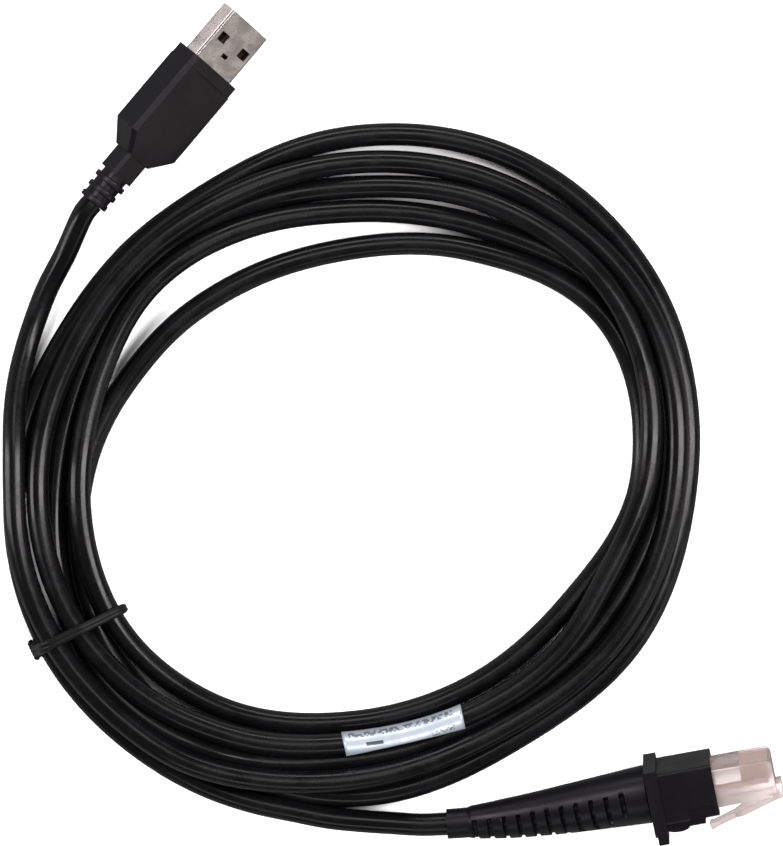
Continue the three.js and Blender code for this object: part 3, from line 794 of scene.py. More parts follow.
class GeometryTrees:
    """The Geometry Nodes trees that sweep a section along a path and place copies."""

    STRAIGHT = "straight_place"

    def __init__(self) -> None:
        """Builds both trees."""
        self.sweep = self._sweep()
        self.copies = self._copies()

    @staticmethod
    def _start(name: str, inputs: list[tuple[str, str]]) -> tuple:
        """Makes an empty geometry tree with its sockets.

        Args:
            name: the tree's name.
            inputs: a socket name and type for each input after the geometry.

        Returns:
            The tree, its sheet and its Group Input node.
        """
        tree = bpy.data.node_groups.new(name, "GeometryNodeTree")
        face = tree.interface
        face.new_socket("Geometry", in_out="INPUT", socket_type="NodeSocketGeometry")
        for socket_name, kind in inputs:
            face.new_socket(socket_name, in_out="INPUT", socket_type=kind)
        face.new_socket("Geometry", in_out="OUTPUT", socket_type="NodeSocketGeometry")
        sheet = NodeSheet(tree)
        return tree, sheet, sheet.add("NodeGroupInput")

    @staticmethod
    def _end(sheet: NodeSheet, shape: object, finish: object) -> None:
        """Closes a tree with smooth shading, realised instances and its material.

        Args:
            sheet: the tree's sheet.
            shape: the output that holds the geometry.
            finish: the output that holds the material.
        """
        smooth = sheet.add("GeometryNodeSetShadeSmooth", {"Geometry": shape})
        real = sheet.add("GeometryNodeRealizeInstances", {"Geometry": smooth.outputs[0]})
        values = {"Geometry": real.outputs[0], "Material": finish}
        dressed = sheet.add("GeometryNodeSetMaterial", values)
        sheet.add("NodeGroupOutput", {0: dressed.outputs[0]})

    def _sweep(self) -> bpy.types.NodeTree:
        """Sweeps a round section along the piece's line of edges.

        The straightened coordinates, section across and length along, are kept as an attribute.

        Returns:
            The tree.
        """
        inputs = [
            ("Diameter", "NodeSocketFloat"),
            ("Sides", "NodeSocketInt"),
            ("Finish", "NodeSocketMaterial"),
        ]
        tree, sheet, given = self._start("sweep_round", inputs)
        path = sheet.add("GeometryNodeMeshToCurve", {"Mesh": given.outputs["Geometry"]})
        along = sheet.add("GeometryNodeSplineParameter").outputs["Length"]
        kept_path = sheet.add("GeometryNodeCaptureAttribute", domain="POINT")
        kept_path.capture_items.new("FLOAT", "along")
        sheet.tree.links.new(path.outputs[0], kept_path.inputs[0])
        sheet.tree.links.new(along, kept_path.inputs[1])
        radius = sheet.math("MULTIPLY", given.outputs["Diameter"], 0.5)
        values = {"Resolution": given.outputs["Sides"], "Radius": radius}
        section = sheet.add("GeometryNodeCurvePrimitiveCircle", values, mode="RADIUS")
        place = sheet.add("GeometryNodeInputPosition").outputs[0]
        kept_section = sheet.add("GeometryNodeCaptureAttribute", domain="POINT")
        kept_section.capture_items.new("VECTOR", "across")
        sheet.tree.links.new(section.outputs[0], kept_section.inputs[0])
        sheet.tree.links.new(place, kept_section.inputs[1])
        values = {0: kept_path.outputs[0], "Profile Curve": kept_section.outputs[0]}
        tube = sheet.add("GeometryNodeCurveToMesh", {**values, "Fill Caps": True})
        lengthways = sheet.add("ShaderNodeCombineXYZ", {2: kept_path.outputs[1]}).outputs[0]
        values = {0: kept_section.outputs[1], 1: lengthways}
        straight = sheet.add("ShaderNodeVectorMath", values, operation="ADD").outputs[0]
        values = {"Geometry": tube.outputs[0], "Name": self.STRAIGHT}
        stored = sheet.add(
            "GeometryNodeStoreNamedAttribute", values, data_type="FLOAT_VECTOR", domain="POINT"
        )
        slot = next(s for s in stored.inputs if s.name == "Value" and s.enabled)
        sheet.tree.links.new(straight, slot)
        self._end(sheet, stored.outputs[0], given.outputs["Finish"])
        return tree

    def _copies(self) -> bpy.types.NodeTree:
        """Places a copy of one shape at each point, at the point's own size.

        Returns:
            The tree.
        """
        inputs = [("Shape", "NodeSocketObject"), ("Finish", "NodeSocketMaterial")]
        tree, sheet, given = self._start("place_copies", inputs)
        shape = sheet.add("GeometryNodeObjectInfo", {"Object": given.outputs["Shape"]})
        size = sheet.add("GeometryNodeInputNamedAttribute", {"Name": "size"}, data_type="FLOAT")
        values = {
            "Points": given.outputs["Geometry"],
            "Instance": shape.outputs["Geometry"],
            "Scale": sheet.add(
                "ShaderNodeCombineXYZ", {0: 1.0, 1: size.outputs[0], 2: size.outputs[0]}
            ).outputs[0],
        }
        placed = sheet.add("GeometryNodeInstanceOnPoints", values)
        self._end(sheet, placed.outputs[0], given.outputs["Finish"])
        return tree

    @staticmethod
    def run(piece: bpy.types.Object, tree: bpy.types.NodeTree, values: dict[str, object]) -> None:
        """Runs a tree on a piece and leaves plain mesh.

        Args:
            piece: the object that carries the tree's input.
            tree: the tree to run.
            values: the tree's named inputs.
        """
        step = piece.modifiers.new("shape", "NODES")
        step.node_group = tree
        for item in tree.interface.items_tree:
            if getattr(item, "in_out", "") == "INPUT" and item.name in values:
                step[item.identifier] = values[item.name]
        Bench.apply(piece)

    def tube(self, name: str, line: list, diameter: float, sides: int, finish: object) -> object:
        """Makes a tube along a line of points and returns it.

        Args:
            name: the new piece's name.
            line: the points that it follows.
            diameter: its diameter, in the line's own units.
            sides: the faces round it.
            finish: its material.

        Returns:
            The new piece.
        """
        mesh = bpy.data.meshes.new(name)
        edges = [(i, i + 1) for i in range(len(line) - 1)]
        mesh.from_pydata([tuple(p) for p in line], edges, [])
        piece = bpy.data.objects.new(name, mesh)
        bpy.context.scene.collection.objects.link(piece)
        self.run(piece, self.sweep, {"Diameter": diameter, "Sides": sides, "Finish": finish})
        return piece

    def row(self, name: str, shape: object, places: list, sizes: list, finish: object) -> object:
        """Makes one piece of copies of a shape and uses the shape up.

        Args:
            name: the new piece's name.
            shape: the object that is copied.
            places: where the copies go.
            sizes: the size of each copy across the row's axis.
            finish: the piece's material.

        Returns:
            The new piece.
        """
        mesh = bpy.data.meshes.new(name)
        mesh.from_pydata(places, [], [])
        size = mesh.attributes.new("size", "FLOAT", "POINT")
        size.data.foreach_set("value", sizes)
        piece = bpy.data.objects.new(name, mesh)
        bpy.context.scene.collection.objects.link(piece)
        self.run(piece, self.copies, {"Shape": shape, "Finish": finish})
        bpy.data.objects.remove(shape)
        return piece


# ---------------------------------------------------------------------------------------
# The workshop: finishes, trees and the way pieces are handed over
# ---------------------------------------------------------------------------------------


class Workshop:
    """Holds what every sub-assembly needs, and hands each finished piece over."""

    def __init__(self, frame: dict) -> None:
        """Builds the shared groups, trees and materials.
        """
        self.frame = frame
        self.effects = Effects()
        self.trees = GeometryTrees()
        along = PlugFrame.of_host(frame["record"]).matrix.to_3x3().col[0].normalized()
        black = (0.0095, 0.0083, 0.0112)
        finishes = {
            Slot.PLUG_STEEL: Plated("nickel_plate", (0.77, 0.72, 0.69), along, 0.26),
            Slot.CONTACT: Plated("gold_flash", (0.95, 0.78, 0.68), along, 0.38),
            Slot.INSULATOR: Moulded("dark_nylon", (0.035, 0.022, 0.018), 0.5),
            Slot.SCREEN: Braided("tinned_braid", (0.68, 0.69, 0.70)),
            Slot.MOULDING: Moulded("black_moulding", black, 0.37, 0.10),
            Slot.JACKET: Extruded("black_jacket", (0.0085, 0.0083, 0.0095), GeometryTrees.STRAIGHT),
            Slot.CLEAR: ClearPlastic("clear_plastic", (0.97, 0.88, 0.86)),
            Slot.LABEL: PrintedFilm("silver_film", (0.225, 0.25, 0.285), (0.012, 0.012, 0.02), "label_uv"),
            Slot.TIE: Moulded("tie_sleeve", (0.012, 0.012, 0.013), 0.42, 0.1, 4200.0),
            Slot.WIRE_RED: Moulded("red_insulation", (0.62, 0.20, 0.15), 0.35),
            Slot.WIRE_WHITE: Moulded("white_insulation", (0.75, 0.70, 0.66), 0.35),
            Slot.WIRE_GREEN: Moulded("green_insulation", (0.10, 0.26, 0.13), 0.35),
            Slot.WIRE_BLACK: Moulded("black_insulation", (0.03, 0.03, 0.03), 0.35),
            Slot.WIRE_BROWN: Moulded("brown_insulation", (0.52, 0.26, 0.16), 0.35),
            Slot.DRAIN: Plated("bare_copper", (0.80, 0.47, 0.34), along, 0.3),
        }
        self.materials = {slot: f.material(self.effects) for slot, f in finishes.items()}
        self.shown_alone: dict[Slot, list] = {slot: [] for slot in SHOWN_ALONE}

    def hand_over(
        self, piece: bpy.types.Object, body: Body, slot: Slot, *stands_for: str
    ) -> bpy.types.Object:
        """Dresses a finished piece and makes it ride on its body.

        Args:
            piece: the piece, in place.
            body: the body that it moves with.
            slot: the finish that it takes.
            stands_for: the CAD nodes that it replaces.

        Returns:
            The piece.
        """
        piece.data.materials.clear()
        piece.data.materials.append(self.materials[slot])
        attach(piece, body.value)
        if stands_for:
            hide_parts(*stands_for)
        if slot in SHOWN_ALONE:
            self.shown_alone[slot].append(piece)
        LOG.info("%s: %d faces, rides on %s", piece.name, len(piece.data.polygons), body.value)
        return piece

    def dress_node(self, node: str, slot: Slot) -> None:
        """Gives a CAD node that stays its finish.

        Args:
            node: the node's name.
            slot: the finish that it takes.
        """
        mesh = self.frame["nodes"][node].data
        mesh.materials.clear()
        mesh.materials.append(self.materials[slot])
        LOG.info("%s: CAD node in %s", node, slot.value)


@dataclass(frozen=True)
class PlugFrame:
    """A plug's own frame: a matrix from its millimetres to the row frame's metres."""

    matrix: Matrix

    @classmethod
    def from_axes(cls, origin: Vector, along: Vector, up: Vector) -> "PlugFrame":
        """Makes a frame from its origin in metres and two of its axes.

        Args:
            origin: where the frame stands.
            along: its X axis, towards the mating end.
            up: its Z axis.

        Returns:
            The frame.
        """
        side = up.cross(along).normalized()
        turn = Matrix((along, side, up)).transposed().to_4x4()
        return cls(Matrix.Translation(origin) @ turn @ Matrix.Scale(MM, 4))

    @staticmethod
    def _mount(record: dict, name: str) -> tuple[Vector, Vector]:
        """Returns a mount's point and axis."""
        mount = next(m for m in record["mounts"] if m["name"] == name)
        return Vector(mount["pos_m"]), Vector(mount["axis"]).normalized()

    @classmethod
    def of_host(cls, record: dict) -> "PlugFrame":
        """Finds the host plug's frame from its two mounts.

        Args:
            record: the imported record.

        Returns:
            The frame.
        """
        stop_side = 6.775 * MM  # from the plug's middle to the stop face's point
        _, up = cls._mount(record, "host_plug_face")
        stop, along = cls._mount(record, "host_stop_face")
        side = up.cross(along).normalized()
        return cls.from_axes(stop - side * stop_side, along, up)

    @classmethod
    def of_scanner(cls, record: dict) -> "PlugFrame":
        """Finds the modular plug's frame from its nose and its latch's hinge.

        Args:
            record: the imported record.

        Returns:
            The frame.
        """
        nose_reach = 23.5 * MM  # from the flange's front face to the nose
        nose, along = cls._mount(record, "modular_plug_nose")
        hinge = next(j for j in record["behaviour"]["joints"] if j["name"] == "latch_flex")
        side = Vector(hinge["axis"]).normalized()
        return cls.from_axes(nose - along * nose_reach, along, along.cross(side).normalized())

    def point(self, x: float, y: float = 0.0, z: float = 0.0) -> Vector:
        """Returns a point of the plug in the row frame."""
        return self.matrix @ Vector((x, y, z))

    def place(self, piece: bpy.types.Object) -> bpy.types.Object:
        """Moves a piece's mesh from the plug's millimetres into the row frame.

        Args:
            piece: the piece to move.

        Returns:
            The piece.
        """
        piece.data.transform(self.matrix)
        piece.data.update()
        return piece


# ---------------------------------------------------------------------------------------
# Smooth lines
# ---------------------------------------------------------------------------------------


def smooth_line(points: list[Vector], step: float) -> list[Vector]:
    """Draws a centripetal curve through points.

    Args:
        points: the points that it passes.
        step: the distance between the points of the result.

    Returns:
        The curve's points.
    """
    given = [p.copy() for p in points]
    ends = [given[0] * 2 - given[1], given[-1] * 2 - given[-2]]
    given = [ends[0], *given, ends[1]]
    line = []
    for i in range(1, len(given) - 2):
        a, b, c, d = given[i - 1 : i + 3]
        knots = [0.0]
        for first, second in ((a, b), (b, c), (c, d)):
            knots.append(knots[-1] + math.sqrt(max((second - first).length, 1e-9)))
        count = max(1, round((c - b).length / step))
        for j in range(count):
            t = knots[1] + (knots[2] - knots[1]) * j / count
            near = [_between(a, b, knots[0], knots[1], t), _between(b, c, knots[1], knots[2], t)]
            near.append(_between(c, d, knots[2], knots[3], t))
            first = _between(near[0], near[1], knots[0], knots[2], t)
            second = _between(near[1], near[2], knots[1], knots[3], t)
            line.append(_between(first, second, knots[1], knots[2], t))
    return [*line, given[-2]]


def _between(a: Vector, b: Vector, low: float, high: float, t: float) -> Vector:
    """Returns the point between a at low and b at high."""
    return a + (b - a) * ((t - low) / (high - low))


def through(places: np.ndarray, values: np.ndarray, at: np.ndarray) -> np.ndarray:
    """Returns smooth values at some places from values at evenly spaced ones.

    Args:
        places: the known places, in rising order.
        values: the value at each.
        at: where values are wanted.

    Returns:
        The wanted values.
    """
    i = np.clip(np.searchsorted(places, at, side="right") - 1, 0, len(places) - 2)
    u = (at - places[i]) / (places[i + 1] - places[i])
    a, b, c, d = (values[np.clip(i + k, 0, len(values) - 1)] for k in (-1, 0, 1, 2))
    square = 2 * a - 5 * b + 4 * c - d
    cube = 3 * b - a - 3 * c + d
    return 0.5 * (2 * b + (c - a) * u + square * u**2 + cube * u**3)


# ---------------------------------------------------------------------------------------
# Cable
# ---------------------------------------------------------------------------------------


@dataclass
class Winding:
    """The coil's turns: where each one lies across the bundle, and how they settle.

    A turn's row gives, every 45 degrees from the left of the coil, its place across the bundle
    from 0 at the inner edge to 1 at the outer, and how many turns it rests on.
    """

    diameter: float = 0.0047
    centre: tuple[float, float] = (-0.0166, -0.0092)
    outer: tuple = (71.6, 74.95, 75.3, 71.2, 65.9, 66.6, 71.8, 75.1, 74.1, 69.9, 67.5, 71.1)
    inner: tuple = (59.5, 60.5, 50.2, 43.4, 42.5, 45.9, 52.4, 55.4, 53.8, 49.9, 49.1, 51.3)
    turns: tuple = (
        ((0.95, 1), (0.78, 2), (0.755, 1), (0.775, 1), (0.78, 1), (0.70, 1), (0.765, 0), (0.90, 0)),
        ((0.64, 1), (0.40, 2), (0.275, 1), (0.35, 1), (0.0, 1), (0.45, 1), (0.55, 0), (0.80, 0)),
        ((0.38, 0), (0.60, 1), (0.50, 0), (0.52, 0), (0.45, 0), (0.23, 0), (0.335, 0), (0.587, 0)),
        ((0.05, 1), (0.0, 0), (0.0, 0), (0.0, 0), (0.0, 0), (0.0, 0), (0.0, 0), (0.0, 0)),
        ((0.0, 0), (0.38, 0), (1.0, 0), (1.0, 0), (1.0, 0), (1.0, 0), (1.0, 0), (1.0, 0)),
        ((0.96, 0), (0.95, 0), (1.02, 0)),
    )
    first: float = 180.0
    start: float = 185.0
    end: float = 2055.0
    step: float = 5.0
    rounds: int = 600
    pull: float = 0.4
    weight: float = 0.00002
    layer: float = 0.87

    def _edge(self, values: tuple, angle: np.ndarray) -> np.ndarray:
        """Returns the bundle's edge in metres at each angle.

        Args:
            values: the edge's radius every 30 degrees, in millimetres.
            angle: the angles, in degrees.

        Returns:
            The radius at each angle.
        """
        spare = 3
        index = np.arange(-spare, len(values) + spare + 1)
        ring = np.array(values)[index % len(values)] * MM
        return through(index * 360.0 / len(values), ring, angle % 360.0)

    def _apart(self, radius: np.ndarray, height: np.ndarray) -> None:
        """Pushes apart the turns that lie in each other, and lifts them onto the surface.

        Args:
            radius: each station's radius, changed in place.
            height: each station's height, changed in place.
        """
        lap = round(360.0 / self.step)
        for start in range(lap, len(radius), lap):
            last = len(radius) - start
            across = radius[:last] - radius[start:]
            above = height[:last] - height[start:]
            apart = np.maximum(np.hypot(across, above), 1e-6)
            push = np.clip(self.diameter - apart, 0.0, None) / apart / 2
            for values, way in ((radius, across), (height, above)):
                shift = way * push
                values[:last] += shift
                values[start:] -= shift
        np.maximum(height, self.diameter / 2, out=height)

    @staticmethod
    def _ease(values: np.ndarray, share: float) -> None:
        """Draws each value towards the middle of its neighbours."""
        values[1:-1] += share * (0.5 * (values[:-2] + values[2:]) - values[1:-1])

    def settled(self) -> tuple[np.ndarray, np.ndarray, np.ndarray]:
        """Lets the turns settle under their weight, each near its own place.

        Returns:
            The angle, radius and height at each station, in degrees and metres.
        """
        rows = [place for turn in self.turns for place in turn]
        known = self.first + 45.0 * np.arange(len(rows))
        angle = np.arange(self.start, self.end + 0.1, self.step)
        share, level = (through(known, np.array([r[k] for r in rows], float), angle) for k in (0, 1))
        inner, outer = self._edge(self.inner, angle), self._edge(self.outer, angle)
        wanted = inner + self.diameter / 2 + share * (outer - inner - self.diameter)
        radius = wanted.copy()
        height = self.diameter * (0.5 + self.layer * level)
        for _ in range(self.rounds):
            radius += self.pull * (wanted - radius)
            height -= self.weight
            self._relax(radius, wanted, height, 0.7, 3)
        for _ in range(self.rounds // 10):
            self._relax(radius, wanted, height, 0.15, 1)
        for _ in range(self.rounds // 60):
            self._apart(radius, height)
        return angle, radius, height

    def _relax(
        self, radius: np.ndarray, wanted: np.ndarray, height: np.ndarray, share: float, tries: int
    ) -> None:
        """Eases the turns along their length and then moves them apart.

        Args:
            radius: each station's radius, changed in place.
            wanted: each station's own radius.
            height: each station's height, changed in place.
            share: how far each value is eased.
            tries: how often the turns are moved apart.
        """
        drift = radius - wanted
        self._ease(drift, share)
        radius[:] = wanted + drift
        self._ease(height, share)
        for _ in range(tries):
            self._apart(radius, height)

    def place(self, angle: float, radius: float, height: float) -> Vector:
        """Returns a point of the coil in the row frame.

        Args:
            angle: the angle in degrees.
            radius: the distance from the coil's middle.
            height: the height over the surface.

        Returns:
            The point.
        """
        turn = math.radians(angle)
        x, y = self.centre
        return Vector((x + radius * math.cos(turn), y + radius * math.sin(turn), height))


@dataclass
class Cable:
    """The round cable from the host plug's strain relief to the boot, with its label and tie."""

    workshop: Workshop
    host: PlugFrame
    winding: Winding = field(default_factory=Winding)
    host_exit: float = -36.95
    host_lead: float = -39.45
    host_tail: tuple = (
        (-0.0753, 0.0353, 0.0046),
        (-0.0789, 0.0286, 0.0030),
        (-0.0813, 0.0226, 0.00245),
        (-0.0834, 0.0160, 0.0028),
        (-0.0849, 0.0093, 0.0042),
        (-0.0856, 0.0027, 0.0057),
        (-0.0857, -0.0041, 0.0067),
    )
    boot_tail: tuple = (
        (-0.0275, -0.0799, 0.00235),
        (-0.0207, -0.0812, 0.00235),
        (-0.0137, -0.0819, 0.00235),
        (-0.0076, -0.0823, 0.00245),
        (-0.0017, -0.0826, 0.0029),
    )
    boot_mouth: Point = BOOT_MOUTH
    spacing: float = 0.0015
    sides: int = 28

    def __post_init__(self) -> None:
        """Works out the settled turns and the whole route."""
        self.angle, self.radius, self.height = self.winding.settled()
        self.line = self._route()

    @property
    def length(self) -> float:
        """The length of the route in metres."""
        return sum((b - a).length for a, b in zip(self.line, self.line[1:]))

    def at(self, angle: float) -> Vector:
        """Returns the centre of the cable at a total angle along the coil.

        Args:
            angle: the angle in degrees, counted on over the turns.

        Returns:
            The point.
        """
        radius = float(np.interp(angle, self.angle, self.radius))
        height = float(np.interp(angle, self.angle, self.height))
        return self.winding.place(angle, radius, height)

    def _route(self) -> list[Vector]:
        """Joins the free ends and the coil's turns into one smooth line.

        Returns:
            The line's points.
        """
        points = [self.host.point(self.host_exit), self.host.point(self.host_lead)]
        points += [Vector(p) for p in self.host_tail]
        for angle, radius, height in zip(self.angle, self.radius, self.height):
            points.append(self.winding.place(float(angle), float(radius), float(height)))
        points += [Vector(p) for p in self.boot_tail]
        points.append(Vector(self.boot_mouth))
        return smooth_line(points, self.spacing)

    def make(self) -> None:
        diameter = self.winding.diameter
        finish = self.workshop.materials[Slot.JACKET]
        trees = self.workshop.trees
        cable = trees.tube("interface_cable", self.line, diameter, self.sides, finish)
        nodes = ("cable_coil", "cable_tail_host", "cable_tail_scanner")
        self.workshop.hand_over(cable, Body.ASSEMBLY, Slot.JACKET, *nodes)
        label = Label(self).make()
        tie = Tie(self).make()
        round(self.length, 2)
        LOG.info("the cable is %.3f m long", self.length)


@dataclass
class Label:
    """A silver film, cut straight and wrapped round one turn of the cable."""

    cable: Cable
    middle: float = 641.9
    length: float = 25.2
    film: float = 0.11
    edge_bow: float = 0.85
    stations: int = 40
    around: int = 26
    inner_turn: float = 205.0
    uv: str = "label_uv"

    @property
    def radius(self) -> float:
        """The film's radius round the cable, in millimetres."""
        return self.cable.winding.diameter / MM / 2 + self.film * 1.5

    def _section(self, share: float) -> list[tuple[float, float]]:
        """Draws the film across the cable, in millimetres outwards and up.

        The film is cut straight, so its outer edge lies further in at the middle of the bend.

        Args:
            share: how far along the label the section lies.

        Returns:
            The points from the outer edge, over the top, to the inner edge.
        """
        radius = self.radius
        edge = radius * 0.995 - self.edge_bow * (1 - (2 * share - 1) ** 2)
        low, high = math.acos(edge / radius), math.radians(self.inner_turn)
        turns = [low + (high - low) * i / self.around for i in range(self.around + 1)]
        return [(radius * math.cos(t), radius * math.sin(t)) for t in turns]

    def make(self) -> bpy.types.Object:
        """Makes the label.

        Returns:
            The finished piece.
        """
        cable = self.cable
        centre = cable.at(self.middle)
        reach = Vector((centre.x - cable.winding.centre[0], centre.y - cable.winding.centre[1]))
        half = math.degrees(self.length * MM / reach.length / 2)
        points, faces, marks = [], [], []
        for i in range(self.stations + 1):
            share = i / self.stations
            bend = half * (2 * share - 1)
            turn = math.radians(self.middle + bend)
            out = Vector((math.cos(turn), math.sin(turn), 0.0))
            for across, up in self._section(share):
                slip = math.degrees(across * MM * math.tan(math.radians(bend)) / reach.length)
                here = cable.at(self.middle + bend - slip)
                points.append(here + out * across * MM + Vector((0, 0, up * MM)))
                marks.append((share, self._share(across, up)))
        count = self.around + 1
        for i in range(self.stations):
            for j in range(self.around):
                corner = i * count + j
                faces.append((corner, corner + 1, corner + count + 1, corner + count))
        mesh = bpy.data.meshes.new("cable_film_label")
        mesh.from_pydata([tuple(p) for p in points], [], faces)
        layer = mesh.uv_layers.new(name=self.uv)
        for loop in mesh.loops:
            layer.data[loop.index].uv = marks[loop.vertex_index]
        mesh.shade_smooth()
        label = bpy.data.objects.new("cable_film_label", mesh)
        bpy.context.scene.collection.objects.link(label)
        wall = label.modifiers.new("wall", "SOLIDIFY")
        wall.thickness = self.film * MM
        wall.offset = 0.0
        Bench.apply(label)
        return cable.workshop.hand_over(label, Body.ASSEMBLY, Slot.LABEL, "cable_label")

    def _share(self, across: float, up: float) -> float:
        """Finds how far across the visible film a point lies.

        Args:
            across: the point's place outwards from the cable's middle, in millimetres.
            up: its height over the cable's middle, in millimetres.

        Returns:
            0 at the outer side, 1 at the inner side and more on the hidden underside.
        """
        return (self.radius - across) / (2 * self.radius) if up > 0 else 1.0 + abs(up)


@dataclass
class Tie:
    """A wire tie: two close loops round the bundle, with its ends twisted together."""

    cable: Cable
    angle: float = 211.0
    tilt: float = -5.0
    wire: float = 1.45
    spread: float = 1.1
    samples: int = 96
    twist_turns: float = 2.2
    twist_length: float = 3.3

    def _centres(self, angle: float) -> list[tuple[float, float]]:
        """Returns the radius and height of each turn of the cable at an angle of the coil.

        Args:
            angle: the angle in degrees, within one turn.

        Returns:
            A radius and a height for each turn there.
        """
        cable = self.cable
        found = []
        total = angle
        while total <= cable.angle[-1]:
            if total >= cable.angle[0]:
                radius = float(np.interp(total, cable.angle, cable.radius))
                found.append((radius, float(np.interp(total, cable.angle, cable.height))))
            total += 360.0
        return found

    def _loop(self, shift: float, slope: float) -> list[Vector]:
        """Draws one loop, pulled tight round the turns.

        Args:
            shift: how far the loop stands along the cable, in millimetres.
            slope: how far it moves on along the cable in one turn.

        Returns:
            The points of the loop's centreline.
        """
        cable = self.cable
        middle = sum(r for r, _ in self._centres(self.angle)) / len(self._centres(self.angle))
        turn = math.radians(self.angle + self.tilt)
        out = Vector((math.cos(turn), math.sin(turn), 0.0))
        along = Vector((-out.y, out.x, 0.0))
        base = cable.winding.place(self.angle, middle, 0.0)
        reach = cable.winding.diameter / 2 + self.wire * MM / 2
        centres = self._centres(self.angle)
        points = []
        for i in range(self.samples + 1):
            share = i / self.samples
            way = 2 * math.pi * share - 0.25 * math.pi
            normal = (math.cos(way), math.sin(way))
            r, z = max(centres, key=lambda c: c[0] * normal[0] + c[1] * normal[1])
            across = r + reach * normal[0] - middle
            up = max(z + reach * normal[1], self.wire * MM * 0.52)
            point = base + out * across + along * (shift + slope * share) * MM
            point.z = up
            points.append(point)
        return points

    def make(self) -> list[bpy.types.Object]:
        """Makes the loops and the twisted end.

        Returns:
            The finished pieces.
        """
        workshop = self.cable.workshop
        finish = workshop.materials[Slot.TIE]
        lines = [self._loop(-self.spread, 0.7), self._loop(self.spread * 0.15, -0.5)]
        loops = []
        for i, line in enumerate(lines):
            eased = smooth_line(line, 0.0007)
            loops.append(workshop.trees.tube(f"tie_loop_{i + 1}", eased, self.wire * MM, 14, finish))
        workshop.hand_over(loops[0], Body.ASSEMBLY, Slot.TIE, "tie_wire")
        workshop.hand_over(loops[1], Body.ASSEMBLY, Slot.TIE)
        return [*loops, *self._twist(lines)]

    def _twist(self, lines: list[list[Vector]]) -> list[bpy.types.Object]:
        """Twists the tie's two ends round each other beside the bundle.

        Args:
            lines: the centrelines of the two loops.

        Returns:
            The two twisted ends.
        """
        workshop = self.cable.workshop
        start = (lines[0][0] + lines[1][0]) / 2
        turn = math.radians(self.angle + self.tilt)
        out = Vector((math.cos(turn), math.sin(turn), 0.0))
        along = Vector((-out.y, out.x, 0.0))
        core = start + out * self.wire * MM * 0.3
        core.z = max(core.z, self.wire * MM * 1.6)
        pieces = []
        for side in (0, 1):
            line = [lines[side][0]]
            count = 40
            for i in range(count + 1):
                share = i / count
                way = 2 * math.pi * self.twist_turns * share + side * math.pi
                gap = self.wire * MM * 0.5
                centre = core - along * (share - 0.4) * self.twist_length * MM
                swing = out * math.cos(way) * gap + Vector((0, 0, math.sin(way) * gap))
                line.append(centre + swing)
            finish = workshop.materials[Slot.TIE]
            name = f"tie_twist_end_{side + 1}"
            twist = workshop.trees.tube(name, smooth_line(line, 0.0004), self.wire * MM * 0.9, 12, finish)
            stands_for = ("tie_twist",) if side == 0 else ()
            pieces.append(workshop.hand_over(twist, Body.ASSEMBLY, Slot.TIE, *stands_for))
        return pieces


# ---------------------------------------------------------------------------------------
# Host plug
# ---------------------------------------------------------------------------------------


